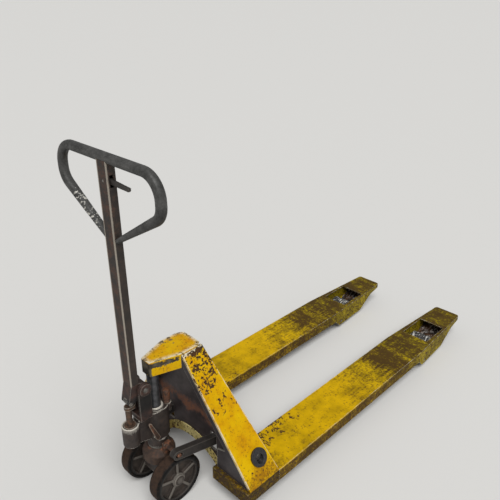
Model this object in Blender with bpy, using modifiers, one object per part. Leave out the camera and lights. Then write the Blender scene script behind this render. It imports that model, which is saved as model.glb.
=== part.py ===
"""Hand pallet jack: forks on a lifting linkage, a steered hydraulic pump and a pump handle.

X runs across the jack, Y from the handle back along the forks, Z up, all in metres. The origin is on
the floor under the middle of the jack. Places along the jack are written as the distance behind the
steering axis, which is also the axis of the ram, and at() turns them into the model's own Y.
The forks are modelled lowered. Right means +X.
"""

import math

import bmesh
import bpy
from mathutils import Matrix, Vector
from mathutils.geometry import convex_hull_2d

# Driving dimensions. First what all pieces share: the gap between touching pieces, how far bodies that
# are fused reach into each other, and how finely round pieces are faceted.
CLEARANCE = 0.0003
FUSE = 0.001
SMALL_ROUND = 16
LARGE_ROUND = 28
WHEEL_ROUND = 40

# Steering wheels and their axle.
WHEEL_RADIUS = 0.090
WHEEL_TRACK = 0.158
TYRE_WIDTH = 0.045
TYRE_THICKNESS = 0.011
TYRE_CHAMFER = 0.004
HUB_WIDTH = 0.041
HUB_RIM = 0.008
HUB_WEB = 0.013
HUB_BOSS_RADIUS = 0.024
HUB_RIB = 0.009
HUB_RIB_INSET = 0.004
HUB_RIB_COUNT = 5
BEARING_RADIUS = 0.0175
BEARING_WIDTH = 0.036
AXLE_RADIUS = 0.010
AXLE_INSET = 0.001
HUB_CAP_RADIUS = 0.020
HUB_CAP_FACE_RADIUS = 0.012
HUB_CAP_HEIGHT = 0.0047
HUB_CAP_SIDE = 0.0019
AXLE_BLOCK_GAP = 0.003
AXLE_BLOCK_DEPTH = 0.056
AXLE_BLOCK_HEIGHT = 0.069
AXLE_BLOCK_RISE = 0.047

# Steering ring and the pump's neck that turns in it.
NECK_RADIUS = 0.0295
YOKE_RADIUS = 0.0545
YOKE_TOP_RADIUS = 0.038
YOKE_HEIGHT = 0.0527
YOKE_CHAMFER = 0.022
YOKE_LUG_OFFSET = 0.0445
YOKE_LUG = 0.015
YOKE_LUG_WIDTH = 0.028
YOKE_LUG_BELOW = 0.0395
YOKE_LUG_ABOVE = 0.0125
TRUNNION_RADIUS = 0.008
TRUNNION_RISE = 0.0145
TRUNNION_OVERHANG = 0.004
THRUST_HEIGHT = 0.0054
THRUST_WIDTH = 0.0045

# Pump casting, ram and what stands on the casting.
SHOULDER_RADIUS = 0.0335
SHOULDER_HEIGHT = 0.0265
PUMP_WIDTH = 0.056
PUMP_FRONT = 0.036
PUMP_REAR = 0.044
PUMP_HEIGHT = 0.1125
WEB_WIDTH = 0.034
CUP_REACH = 0.097
CUP_RADIUS = 0.027
CUP_WALL = 0.0045
CUP_HEIGHT = 0.1015
CUP_FLOOR = 0.0595
CUP_UNDERSIDE = 0.027
PLUNGER_BORE_DEPTH = 0.027
RAM_RADIUS = 0.019
RAM_NECK_RADIUS = 0.0155
RAM_STEP_DROP = 0.004
RAM_BORE_FLOOR = 0.165
RAM_FOOT_GAP = 0.020
GLAND_RADIUS = 0.0255
GLAND_HEIGHT = 0.0117
VALVE_CAP_X = 0.004
VALVE_CAP_Y = 0.042
VALVE_CAP_RADIUS = 0.013
VALVE_CAP_HEIGHT = 0.050
VALVE_CAP_SIDE = 0.0435
VALVE_CAP_CROWN_RADIUS = 0.0091
VALVE_CAP_CROWN_DROP = 0.0013
VALVE_LUG_WALL = 0.0025
VALVE_LUG_HEIGHT = 0.030
VALVE_LEVER_THICKNESS = 0.005
VALVE_LEVER_Y = -0.020
VALVE_LEVER_RISE = 0.0175
VALVE_LEVER_EYE = 0.008
VALVE_LEVER_TIP = 0.005
VALVE_LEVER_LENGTH = 0.0725
VALVE_LEVER_LEAN = math.radians(20.2)
VALVE_STUB_RADIUS = 0.004
VALVE_STUB_LENGTH = 0.0165

# Plunger, its tappet head and its return spring.
PLUNGER_RADIUS = 0.010
PLUNGER_FOOT_GAP = 0.0207
COLLAR_RADIUS = 0.020
COLLAR_HEIGHT = 0.0045
COLLAR_RISE = 0.038
TAPPET_WIDTH = 0.025
TAPPET_HEIGHT = 0.011
TAPPET_TRAIL = 0.0125
TAPPET_GAP = 0.010
SPRING_RADIUS = 0.0162
SPRING_WIRE = 0.0028
SPRING_TURNS = 5
SPRING_POINTS_PER_TURN = 10

# Handle bracket, handle foot and cam roller.
BRACKET_WIDTH = 0.061
BRACKET_DEPTH = 0.044
BRACKET_BASE = 0.0167
EAR = 0.008
EAR_RADIUS = 0.022
BOSS_RADIUS = 0.0205
BOSS_PROUD = 0.008
HANDLE_PIVOT_Y = -0.052
HANDLE_PIVOT_RISE = 0.117
HANDLE_PIN_RADIUS = 0.008
HANDLE_PIN_INSET = 0.001
FOOT_RADIUS = 0.018
CAM_ROLLER_RADIUS = 0.009
CAM_ROLLER_WIDTH = 0.018
CAM_ROLLER_DROP = 0.036
CAM_ROLLER_AHEAD = 0.044
CAM_ROLLER_PROUD = 0.001
CAM_POCKET_GAP = 0.0025
CAM_JOURNAL_RADIUS = 0.004
TONGUE_HEIGHT = 0.030

# Handle shaft, loop and control lever.
SHAFT_WIDTH = 0.042
SHAFT_DEPTH = 0.026
SHAFT_WALL = 0.003
SHAFT_AHEAD = 0.0255
SHAFT_RISE = 0.023
LOOP_TUBE = 0.027
LOOP_WALL = 0.003
LOOP_TOP = 1.184
LOOP_WIDTH = 0.470
LOOP_SHOULDER_DROP = 0.0995
LOOP_STRAND_FALL = 0.135
LOOP_TOP_FILLET = 0.060
LOOP_SIDE_FILLET = 0.050
LOOP_FILLET_STEPS = 5
LEVER_DROP = 0.072
LEVER_THICKNESS = 0.008
LEVER_RADIUS = 0.008
LEVER_TIP_RADIUS = 0.0055
LEVER_TIP_DROP = 0.004
LEVER_LENGTH = 0.094
LEVER_TAIL = 0.011
LEVER_TAIL_RADIUS = 0.004
LEVER_PIN_RADIUS = 0.004
LEVER_SWING = math.radians(18)
RELEASE_ROD_RADIUS = 0.002
RELEASE_ROD_OFFSET = 0.002
RELEASE_ROD_GAP = 0.0009
RELEASE_ROD_FOOT = 0.010

# Head and legs.
HEAD_TOP = 0.525
HEAD_PLATE = 0.006
HEAD_WALL = 0.004
HEAD_NOSE_FRONT = -0.021
HEAD_NOSE_WIDTH = 0.040
HEAD_NOSE_DEPTH = 0.052
HEAD_WIDTH = 0.104
HEAD_REAR_WIDTH = 0.076
HEAD_REAR_TAPER = 0.021
RAM_SEAT_RADIUS = 0.0165
RAM_SEAT_HEIGHT = 0.0199
LEG_THICKNESS = 0.0094
LEG_FOOT_FRONT = 0.120
LEG_TOP_FRONT = 0.080
LEG_TOP_DEPTH = 0.082
FLANGE_THICKNESS = 0.006
FLANGE_BAND = 0.029
FLANGE_TOP_GAP = 0.009
FLANGE_FOOT_WIDTH = 0.149
FLANGE_KNEE_WIDTH = 0.038
FLANGE_KNEE_RISE = 0.094
FLANGE_KNEE_STEP = 0.0165
BACK_PLATE_Y = 0.142
BACK_PLATE_THICKNESS = 0.006
ARM_SLOT_GAP = 0.002
ARM_SLOT_ABOVE = 0.037
ARM_SLOT_BELOW = 0.033
ARCH_CROWN = 0.118
ARCH_FOOT = 0.0575
ARCH_STEPS = 14
ARCH_RIM_THICKNESS = 0.0037
ARCH_RIM_HEIGHT = 0.039
BUSH_WALL = 0.0052
BUSH_RING_RADIUS = 0.031
BUSH_RING_THICKNESS = 0.008
BUSH_LEVER_GAP = 0.004

# Forks and their heels.
FORK_SPAN = 0.619
FORK_WIDTH = 0.1675
FORK_TOP = 0.0994
FORK_PLATE = 0.005
FORK_SKIRT = 0.0494
FORK_DEEP_SKIRT = 0.0814
FORK_LENGTH = 1.3094
FORK_TIP_WIDTH = 0.118
FORK_TIP_HEIGHT = 0.0194
FORK_TIP_RAMP = 0.0797
FORK_TIP_RAMP_HEIGHT = 0.0294
FORK_NOSE_PLATE = 0.004
HEEL_FRONT = 0.107
HEEL_LENGTH = 0.148
LEVER_SLOT_GAP = 0.0025
LEVER_SLOT_FRONT = 0.034
LEVER_SLOT_REAR = 0.034

# Lifting linkage: rocker, push rods, roller brackets and load rollers.
LIFT = 0.090
ROCKER_Y = 0.196
ROCKER_Z = 0.168
ROCKER_SHAFT_RADIUS = 0.014
ROCKER_SHAFT_PROUD = 0.0005
ARM_WIDTH = 0.022
ARM_DEPTH = 0.033
ARM_EYE_RADIUS = 0.0165
ARM_BOSS_RADIUS = 0.021
ARM_EYE_X = 0.100
ARM_BOSS_X = 0.117
ARM_EYE_PLAY = 0.0045
ARM_EYE_SIDE_PLAY = 0.0007
LEVER_ARM = 0.094
ROCKER_LEVER_THICKNESS = 0.012
LEVER_EYE_RADIUS = 0.012
ROD_PIN_RADIUS = 0.006
CLEVIS_GAP = 0.0005
CLEVIS_CHEEK = 0.005
CLEVIS_RADIUS = 0.012
CLEVIS_DEPTH = 0.018
CLEVIS_BLOCK = 0.024
ROD_WIDTH = 0.012
ROD_DEPTH = 0.016
ROD_EYE_RADIUS = 0.0115
ROD_EYE_PLAY = 0.0085
ROD_EYE_SIDE_PLAY = 0.0008
BRACKET_PIVOT_Y = 1.215
BRACKET_PIVOT_Z = 0.035
BRACKET_PIN_RADIUS = 0.006
BRACKET_PIN_INSET = 0.0005
BRACKET_TUBE_WALL = 0.004
BRACKET_PLATE = 0.006
BRACKET_PIVOT_RADIUS = 0.013
BRACKET_CROWN_RADIUS = 0.010
BRACKET_AXLE_RADIUS = 0.015
BRACKET_REACH = 0.103
CROSS_PIN_RADIUS = 0.005
CROSS_PIN_ARM = 0.0436
LOAD_ROLLER_RADIUS = 0.040
LOAD_ROLLER_WIDTH = 0.086
LOAD_ROLLER_GAP = 0.0025
LOAD_ROLLER_CHAMFER = 0.003
LOAD_AXLE_RADIUS = 0.010
LOAD_AXLE_PROUD = 0.001
ROLLER_SLOT_WIDTH = 0.116
ROLLER_SLOT_AHEAD = 0.058
ROLLER_SLOT_BEHIND = 0.092
DEEP_SKIRT_AHEAD = 0.015
DEEP_SKIRT_BEHIND = 0.072
SKIRT_RAMP = 0.035

# Places worked out from the driving dimensions.
STEER_Y = (CUP_REACH + CUP_RADIUS - HEEL_FRONT - HEEL_LENGTH - CLEARANCE - FORK_LENGTH) / 2
HUB_RADIUS = WHEEL_RADIUS - TYRE_THICKNESS
WHEEL_X = WHEEL_TRACK / 2
BLOCK_WIDTH = WHEEL_TRACK - TYRE_WIDTH - 2 * AXLE_BLOCK_GAP
BLOCK_TOP = WHEEL_RADIUS + AXLE_BLOCK_RISE
YOKE_BOTTOM = BLOCK_TOP + CLEARANCE
YOKE_TOP = YOKE_BOTTOM + YOKE_HEIGHT
TRUNNION_Z = YOKE_TOP + TRUNNION_RISE
SHOULDER_BOTTOM = YOKE_TOP + THRUST_HEIGHT + 2 * CLEARANCE
PUMP_BOTTOM = SHOULDER_BOTTOM + SHOULDER_HEIGHT
PUMP_TOP = PUMP_BOTTOM + PUMP_HEIGHT
CUP_Y = -CUP_REACH
CUP_TOP = PUMP_BOTTOM + CUP_HEIGHT
CUP_INSIDE = CUP_RADIUS - CUP_WALL
CUP_FLOOR_Z = PUMP_BOTTOM + CUP_FLOOR
CUP_BOTTOM = PUMP_BOTTOM + CUP_UNDERSIDE
COLLAR_Z = CUP_FLOOR_Z + COLLAR_RISE
SEAT_Z = PUMP_TOP + CLEARANCE
HANDLE_PIVOT_Z = PUMP_TOP + HANDLE_PIVOT_RISE
BRACKET_FRONT = HANDLE_PIVOT_Y - BRACKET_DEPTH / 2
CAM_Y = HANDLE_PIVOT_Y - CAM_ROLLER_AHEAD
CAM_Z = HANDLE_PIVOT_Z - CAM_ROLLER_DROP
TAPPET_TOP = CAM_Z - CAM_ROLLER_RADIUS - TAPPET_GAP
SHAFT_Y = HANDLE_PIVOT_Y - SHAFT_AHEAD
FOOT_TOP = HANDLE_PIVOT_Z + SHAFT_RISE
LOOP_Z = LOOP_TOP - LOOP_TUBE / 2
LEVER_Z = LOOP_TOP - LEVER_DROP
HEAD_BOTTOM = HEAD_TOP - HEAD_PLATE
LEG_TOP_Z = HEAD_BOTTOM - CLEARANCE
LEG_FOOT_Z = FORK_TOP + CLEARANCE
HEEL_REAR = HEEL_FRONT + HEEL_LENGTH
FORK_FRONT = HEEL_REAR + CLEARANCE
FORK_TIP = FORK_FRONT + FORK_LENGTH
FORK_X = (FORK_SPAN - FORK_WIDTH) / 2
LEG_LEAN = (FORK_SPAN - HEAD_WIDTH) / 2 / (LEG_TOP_Z - LEG_FOOT_Z)
ROCKER_REACH = math.hypot(ROCKER_Y, TRUNNION_Z - ROCKER_Z)
ROCKER_START = math.asin((TRUNNION_Z - ROCKER_Z) / ROCKER_REACH)
ROCKER_SWING = ROCKER_START - math.asin((TRUNNION_Z - LIFT - ROCKER_Z) / ROCKER_REACH)
LEVER_EYE_Y = ROCKER_Y - LEVER_ARM * math.sin(ROCKER_SWING / 2)
LEVER_EYE_Z = ROCKER_Z - LEVER_ARM * math.cos(ROCKER_SWING / 2)
LOAD_AXLE_Y = BRACKET_PIVOT_Y + BRACKET_REACH
LOAD_AXLE_Z = LOAD_ROLLER_RADIUS
BRACKET_LENGTH = math.hypot(BRACKET_REACH, LOAD_AXLE_Z - BRACKET_PIVOT_Z)
BRACKET_START = math.asin((LOAD_AXLE_Z - BRACKET_PIVOT_Z) / BRACKET_LENGTH)
BRACKET_SWING = BRACKET_START - math.asin((LOAD_AXLE_Z - LIFT - BRACKET_PIVOT_Z) / BRACKET_LENGTH)
CROSS_PIN_Y = BRACKET_PIVOT_Y - CROSS_PIN_ARM * math.sin(BRACKET_SWING / 2)
CROSS_PIN_Z = BRACKET_PIVOT_Z + CROSS_PIN_ARM * math.cos(BRACKET_SWING / 2)
PLATE_INSIDE = LOAD_ROLLER_WIDTH / 2 + LOAD_ROLLER_GAP
PLATE_OUTSIDE = PLATE_INSIDE + BRACKET_PLATE

SIDES = (("left", -1), ("right", 1))
ALONG_X = (0, math.pi / 2, 0)
ALONG_Y = (math.pi / 2, 0, 0)
FLAT_YZ = (math.pi / 2, 0, math.pi / 2)
FLAT_XZ = (math.pi / 2, 0, 0)
UPRIGHT = (0, 0, 0)


def at(x, y, z):
    """A point given by its distance behind the steering axis, in the model's frame."""
    return Vector((x, STEER_Y + y, z))


def bore_radius(radius, sides=SMALL_ROUND):
    """Corner radius of a faceted hole whose flats clear a round piece of this radius."""
    return (radius + CLEARANCE) / math.cos(math.pi / sides)


def circle(u, v, radius, sides=SMALL_ROUND):
    """Points of a circle in a flat outline."""
    turns = [2 * math.pi * i / sides for i in range(sides)]
    return [(u + radius * math.cos(turn), v + radius * math.sin(turn)) for turn in turns]


def hull(*groups):
    """The outline of a tight belt round some groups of points."""
    points = [Vector(point) for group in groups for point in group]
    return [tuple(points[i]) for i in convex_hull_2d(points)]


def leg_outside(z):
    """Distance of the leg's slanting outer face from the middle, at a height."""
    return FORK_SPAN / 2 - LEG_LEAN * (z - LEG_FOOT_Z)


def leg_front(z):
    """Distance of the leg's front edge behind the steering axis, at a height."""
    share = (z - LEG_FOOT_Z) / (LEG_TOP_Z - LEG_FOOT_Z)
    return LEG_FOOT_FRONT + share * (LEG_TOP_FRONT - LEG_FOOT_FRONT)


def beside_leg(z):
    """Half the width between the legs at a height, less the clearance to their inner faces."""
    return leg_outside(z) - LEG_THICKNESS - CLEARANCE


def new_collection(name):
    """A collection in the scene."""
    collection = bpy.data.collections.new(name)
    bpy.context.scene.collection.children.link(collection)
    return collection


def new_finish(name, colour, roughness, metallic):
    """A Principled material."""
    finish = bpy.data.materials.new(name)
    finish.use_nodes = True
    finish.diffuse_color = (*colour, 1)
    shader = finish.node_tree.nodes["Principled BSDF"]
    shader.inputs["Base Color"].default_value = (*colour, 1)
    shader.inputs["Roughness"].default_value = roughness
    shader.inputs["Metallic"].default_value = metallic
    return finish


def tidy_mesh(mesh):
    """Weld a mesh's seams and turn its faces outward."""
    cage = bmesh.new()
    cage.from_mesh(mesh)
    bmesh.ops.remove_doubles(cage, verts=cage.verts, dist=1e-6)
    bmesh.ops.recalc_face_normals(cage, faces=cage.faces)
    cage.to_mesh(mesh)
    cage.free()
    return mesh


def curve_mesh(curve):
    """The mesh of a curve, which is then removed."""
    guide = bpy.data.objects.new(curve.name, curve)
    bpy.context.scene.collection.objects.link(guide)
    bpy.context.view_layer.update()
    evaluated = guide.evaluated_get(bpy.context.evaluated_depsgraph_get())
    mesh = bpy.data.meshes.new_from_object(evaluated)
    bpy.data.objects.remove(guide)
    bpy.data.curves.remove(curve)
    return tidy_mesh(mesh)


def outline_mesh(thickness, *outlines):
    """A flat outline, with any further outlines as its holes, thickened evenly to both sides."""
    curve = bpy.data.curves.new("outline", "CURVE")
    curve.dimensions = "2D"
    curve.fill_mode = "BOTH"
    curve.extrude = thickness / 2
    for outline in outlines:
        spline = curve.splines.new("POLY")
        spline.points.add(len(outline) - 1)
        spline.use_cyclic_u = True
        for point, (u, v) in zip(spline.points, outline):
            point.co = (u, v, 0, 1)
    return curve_mesh(curve)


def box_mesh(low, high):
    """A box between two corners, kept in place in its mesh."""
    cage = bmesh.new()
    bmesh.ops.create_cube(cage, size=1)
    for vertex in cage.verts:
        corner = [high[i] if vertex.co[i] > 0 else low[i] for i in range(3)]
        vertex.co = corner
    mesh = bpy.data.meshes.new("box")
    cage.to_mesh(mesh)
    cage.free()
    return mesh


def rod_mesh(radius, start, end, sides=SMALL_ROUND):
    """A cylinder along its own Z, from start to end."""
    cage = bmesh.new()
    middle = Matrix.Translation((0, 0, (start + end) / 2))
    bmesh.ops.create_cone(
        cage, cap_ends=True, segments=sides, radius1=radius, radius2=radius, depth=end - start, matrix=middle
    )
    mesh = bpy.data.meshes.new("rod")
    cage.to_mesh(mesh)
    cage.free()
    return mesh


def profile_mesh(profile, closed):
    """Edges through (radius, height) points, to be turned round Z by turn()."""
    cage = bmesh.new()
    points = [cage.verts.new((radius, 0, height)) for radius, height in profile]
    for first, second in zip(points, points[1:] + points[:1] if closed else points[1:]):
        cage.edges.new((first, second))
    mesh = bpy.data.meshes.new("profile")
    cage.to_mesh(mesh)
    cage.free()
    return mesh


def sheared(mesh, share):
    """Slide each point of a mesh by share(point), a vector."""
    for vertex in mesh.vertices:
        vertex.co += share(vertex.co)
    return mesh


def piece(name, mesh, finish, body, place=(0, 0, 0), rotation=UPRIGHT, smooth=False):
    """One part of the jack, at a place in the model's frame, carried by a body's empty."""
    part = bpy.data.objects.new(name, mesh)
    parts.objects.link(part)
    mesh.materials.append(finish)
    part.parent = body
    part.matrix_parent_inverse = Matrix.Translation(body.location).inverted()
    part.location = place
    part.rotation_euler = rotation
    if smooth:
        mesh.shade_smooth()
        mesh.set_sharp_from_angle(angle=math.radians(35))
    return part


def joint_body(name, place, parent=None):
    """An empty on a joint's axis, which carries the pieces that move together."""
    body = bpy.data.objects.new(name, None)
    parts.objects.link(body)
    body.empty_display_size = 0.03
    if parent:
        body.parent = parent
        body.matrix_parent_inverse = Matrix.Translation(parent.location).inverted()
    body.location = place
    return body


def turn(part, steps=SMALL_ROUND):
    """Turn a part's profile round its own Z."""
    screw = part.modifiers.new("Turned", "SCREW")
    screw.steps = steps
    screw.render_steps = steps
    screw.use_merge_vertices = True
    screw.merge_threshold = 1e-5
    return part


def helper(mesh, place=(0, 0, 0), rotation=UPRIGHT):
    """A hidden body that cuts a part or is joined to it."""
    tool = bpy.data.objects.new("shape", mesh)
    helpers.objects.link(tool)
    tool.location = place
    tool.rotation_euler = rotation
    tool.hide_render = True
    tool.display_type = "WIRE"
    return tool


def shape(part, operation, *tools):
    """Cut hidden bodies from a part (DIFFERENCE) or join them to it (UNION)."""
    for tool in tools:
        step = part.modifiers.new(operation.title(), "BOOLEAN")
        step.operation = operation
        step.object = tool


for old in list(bpy.data.objects):
    bpy.data.objects.remove(old)
parts = new_collection("pallet_jack")
helpers = new_collection("shaping_bodies")

yellow_paint = new_finish("yellow_paint", (0.62, 0.36, 0.03), 0.5, 0.0)
grey_steel = new_finish("grey_steel", (0.20, 0.19, 0.18), 0.45, 0.9)
bright_steel = new_finish("bright_steel", (0.55, 0.55, 0.56), 0.25, 1.0)
dark_steel = new_finish("dark_steel", (0.07, 0.06, 0.07), 0.55, 0.6)
cast_iron = new_finish("cast_iron", (0.10, 0.08, 0.07), 0.65, 0.5)
rusty_steel = new_finish("rusty_steel", (0.19, 0.09, 0.04), 0.8, 0.2)
black_rubber = new_finish("black_rubber", (0.02, 0.02, 0.02), 0.7, 0.0)
black_plastic = new_finish("black_plastic", (0.03, 0.03, 0.03), 0.5, 0.0)

frame = joint_body("frame", at(0, 0, 0))
carriage = joint_body("carriage", at(0, 0, TRUNNION_Z), frame)
pump = joint_body("pump", at(0, 0, PUMP_BOTTOM), carriage)
handle = joint_body("handle", at(0, HANDLE_PIVOT_Y, HANDLE_PIVOT_Z), pump)
rocker = joint_body("rocker", at(0, ROCKER_Y, ROCKER_Z), frame)


def ring_profile(inside, outside, bottom, top, chamfer=0.0):
    """Section of a turned ring, down its outside and up its inside."""
    return [
        (inside, top),
        (outside - chamfer, top),
        (outside, top - chamfer),
        (outside, bottom + chamfer),
        (outside - chamfer, bottom),
        (inside, bottom),
    ] if chamfer else [(inside, top), (outside, top), (outside, bottom), (inside, bottom)]


def make_wheel(side, sign):
    """Steering wheel: solid tyre on a ribbed hub, with its bearing and hub cap."""
    centre = at(sign * WHEEL_X, 0, WHEEL_RADIUS)
    body = joint_body("wheel_" + side, centre, pump)
    tyre_section = ring_profile(
        bore_radius(HUB_RADIUS, WHEEL_ROUND), WHEEL_RADIUS, -TYRE_WIDTH / 2, TYRE_WIDTH / 2, TYRE_CHAMFER
    )
    tyre_mesh = profile_mesh(tyre_section, closed=True)
    turn(piece("steer_tyre_" + side, tyre_mesh, black_rubber, body, centre, ALONG_X, True), WHEEL_ROUND)

    rim_inside = HUB_RADIUS - HUB_RIM
    upper = [
        (bore_radius(BEARING_RADIUS), HUB_WIDTH / 2),
        (HUB_BOSS_RADIUS, HUB_WIDTH / 2),
        (HUB_BOSS_RADIUS, HUB_WEB / 2),
        (rim_inside, HUB_WEB / 2),
        (rim_inside, HUB_WIDTH / 2),
        (HUB_RADIUS, HUB_WIDTH / 2),
    ]
    section = upper + [(radius, -height) for radius, height in reversed(upper)]
    hub = piece("steer_hub_" + side, profile_mesh(section, True), cast_iron, body, centre, ALONG_X, True)
    turn(hub, WHEEL_ROUND)
    rib_reach = HUB_WIDTH / 2 - HUB_RIB_INSET
    rib_start = (HUB_BOSS_RADIUS + bore_radius(BEARING_RADIUS)) / 2
    rib_end = rim_inside + HUB_RIM / 2
    for number in range(HUB_RIB_COUNT):
        rib = box_mesh((-rib_reach, -HUB_RIB / 2, rib_start), (rib_reach, HUB_RIB / 2, rib_end))
        rib_turn = (2 * math.pi * number / HUB_RIB_COUNT, 0, 0)
        shape(hub, "UNION", helper(rib, centre, rib_turn))

    bearing_section = ring_profile(
        bore_radius(AXLE_RADIUS), BEARING_RADIUS, -BEARING_WIDTH / 2, BEARING_WIDTH / 2
    )
    bearing_mesh = profile_mesh(bearing_section, True)
    turn(piece("steer_bearing_" + side, bearing_mesh, bright_steel, body, centre, ALONG_X, True))

    cap_foot = HUB_WIDTH / 2 + CLEARANCE
    cap_section = [
        (0, cap_foot + HUB_CAP_HEIGHT),
        (HUB_CAP_FACE_RADIUS, cap_foot + HUB_CAP_HEIGHT),
        (HUB_CAP_RADIUS, cap_foot + HUB_CAP_SIDE),
        (HUB_CAP_RADIUS, cap_foot),
        (0, cap_foot),
    ]
    cap_turn = (0, sign * math.pi / 2, 0)
    cap = piece("hub_cap_" + side, profile_mesh(cap_section, False), dark_steel, body, centre, cap_turn, True)
    turn(cap)


def make_axle():
    """Axle block under the pump, with the axle of both steering wheels."""
    low = (-BLOCK_WIDTH / 2, -AXLE_BLOCK_DEPTH / 2, BLOCK_TOP - AXLE_BLOCK_HEIGHT)
    high = (BLOCK_WIDTH / 2, AXLE_BLOCK_DEPTH / 2, BLOCK_TOP)
    block = piece("axle_block", box_mesh(low, high), cast_iron, pump, at(0, 0, 0))
    hole = rod_mesh(bore_radius(AXLE_RADIUS), -WHEEL_TRACK, WHEEL_TRACK)
    shape(block, "DIFFERENCE", helper(hole, at(0, 0, WHEEL_RADIUS), ALONG_X))
    reach = WHEEL_X + HUB_WIDTH / 2 - AXLE_INSET
    axle = rod_mesh(AXLE_RADIUS, -reach, reach)
    piece("steer_axle", axle, bright_steel, pump, at(0, 0, WHEEL_RADIUS), ALONG_X, True)


def make_yoke():
    """Steering ring round the pump's neck, with a lug and a trunnion pin on each side."""
    section = [
        (bore_radius(NECK_RADIUS, WHEEL_ROUND), YOKE_TOP),
        (YOKE_TOP_RADIUS, YOKE_TOP),
        (YOKE_RADIUS, YOKE_TOP - YOKE_CHAMFER),
        (YOKE_RADIUS, YOKE_BOTTOM),
        (bore_radius(NECK_RADIUS, WHEEL_ROUND), YOKE_BOTTOM),
    ]
    yoke = piece("link_yoke", profile_mesh(section, True), rusty_steel, carriage, at(0, 0, 0), smooth=True)
    turn(yoke, WHEEL_ROUND)
    pin_reach = ARM_EYE_X + ARM_WIDTH / 2 + TRUNNION_OVERHANG
    for _, sign in SIDES:
        middle = sign * YOKE_LUG_OFFSET
        low = (middle - YOKE_LUG / 2, -YOKE_LUG_WIDTH / 2, TRUNNION_Z - YOKE_LUG_BELOW)
        high = (middle + YOKE_LUG / 2, YOKE_LUG_WIDTH / 2, TRUNNION_Z + YOKE_LUG_ABOVE)
        shape(yoke, "UNION", helper(box_mesh(low, high), at(0, 0, 0)))
        ends = sorted((middle, sign * pin_reach))
        pin = rod_mesh(TRUNNION_RADIUS, *ends)
        shape(yoke, "UNION", helper(pin, at(0, 0, TRUNNION_Z), ALONG_X))
    inside = bore_radius(NECK_RADIUS, LARGE_ROUND)
    bottom = YOKE_TOP + CLEARANCE
    race = ring_profile(inside, inside + THRUST_WIDTH, bottom, bottom + THRUST_HEIGHT)
    race_mesh = profile_mesh(race, True)
    turn(piece("thrust_bearing", race_mesh, bright_steel, carriage, at(0, 0, 0), smooth=True), LARGE_ROUND)


def make_pump():
    """Pump casting: neck, shoulder, main body, and a web out to the plunger cup."""
    neck = rod_mesh(NECK_RADIUS, BLOCK_TOP + CLEARANCE, SHOULDER_BOTTOM + SHOULDER_HEIGHT / 2, LARGE_ROUND)
    casting = piece("pump_body", neck, cast_iron, pump, at(0, 0, 0), smooth=True)
    shoulder = rod_mesh(SHOULDER_RADIUS, SHOULDER_BOTTOM, PUMP_BOTTOM + FUSE, LARGE_ROUND)
    half = PUMP_WIDTH / 2
    plan = hull(
        circle(0, half - PUMP_FRONT, half, LARGE_ROUND), circle(0, PUMP_REAR - half, half, LARGE_ROUND)
    )
    main = outline_mesh(PUMP_HEIGHT, plan)
    cup = rod_mesh(CUP_RADIUS, CUP_BOTTOM, CUP_TOP, LARGE_ROUND)
    web_front = CUP_Y + CUP_INSIDE + FUSE / 2
    web_side = [
        (0, PUMP_BOTTOM + FUSE),
        (0, PUMP_TOP),
        (web_front, PUMP_TOP),
        (web_front, CUP_TOP - CUP_WALL),
        (CUP_Y + CUP_INSIDE / 2, CUP_TOP - CUP_WALL),
        (CUP_Y + CUP_INSIDE / 2, CUP_BOTTOM + FUSE),
    ]
    web = outline_mesh(WEB_WIDTH, web_side)
    lug_radius = VALVE_CAP_RADIUS + VALVE_LUG_WALL
    lug = rod_mesh(lug_radius, PUMP_TOP - VALVE_LUG_HEIGHT, PUMP_TOP)
    shape(
        casting,
        "UNION",
        helper(shoulder, at(0, 0, 0)),
        helper(main, at(0, 0, PUMP_BOTTOM + PUMP_HEIGHT / 2)),
        helper(web, at(0, 0, 0), FLAT_YZ),
        helper(lug, at(VALVE_CAP_X, VALVE_CAP_Y, 0)),
        helper(cup, at(0, CUP_Y, 0)),
    )
    over = PUMP_TOP + RAM_RADIUS
    cup_space = rod_mesh(CUP_INSIDE, CUP_FLOOR_Z, over, LARGE_ROUND)
    plunger_bore = rod_mesh(bore_radius(PLUNGER_RADIUS), CUP_FLOOR_Z - PLUNGER_BORE_DEPTH, over)
    ram_bore = rod_mesh(bore_radius(RAM_RADIUS), RAM_BORE_FLOOR, over)
    stub_bore = rod_mesh(bore_radius(VALVE_STUB_RADIUS), half - VALVE_STUB_LENGTH - CLEARANCE, PUMP_WIDTH)
    shape(
        casting,
        "DIFFERENCE",
        helper(cup_space, at(0, CUP_Y, 0)),
        helper(plunger_bore, at(0, CUP_Y, 0)),
        helper(ram_bore, at(0, 0, 0)),
        helper(stub_bore, at(0, VALVE_LEVER_Y, PUMP_BOTTOM + VALVE_LEVER_RISE), ALONG_X),
    )

    gland = ring_profile(bore_radius(RAM_RADIUS), GLAND_RADIUS, SEAT_Z, SEAT_Z + GLAND_HEIGHT)
    turn(piece("ram_gland", profile_mesh(gland, True), dark_steel, pump, at(0, 0, 0), smooth=True))
    crown = SEAT_Z + VALVE_CAP_HEIGHT
    cap = [
        (0, crown),
        (VALVE_CAP_CROWN_RADIUS, crown - VALVE_CAP_CROWN_DROP),
        (VALVE_CAP_RADIUS, SEAT_Z + VALVE_CAP_SIDE),
        (VALVE_CAP_RADIUS, SEAT_Z),
        (0, SEAT_Z),
    ]
    cap_place = at(VALVE_CAP_X, VALVE_CAP_Y, 0)
    turn(piece("relief_valve_cap", profile_mesh(cap, False), rusty_steel, pump, cap_place, smooth=True))


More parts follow.
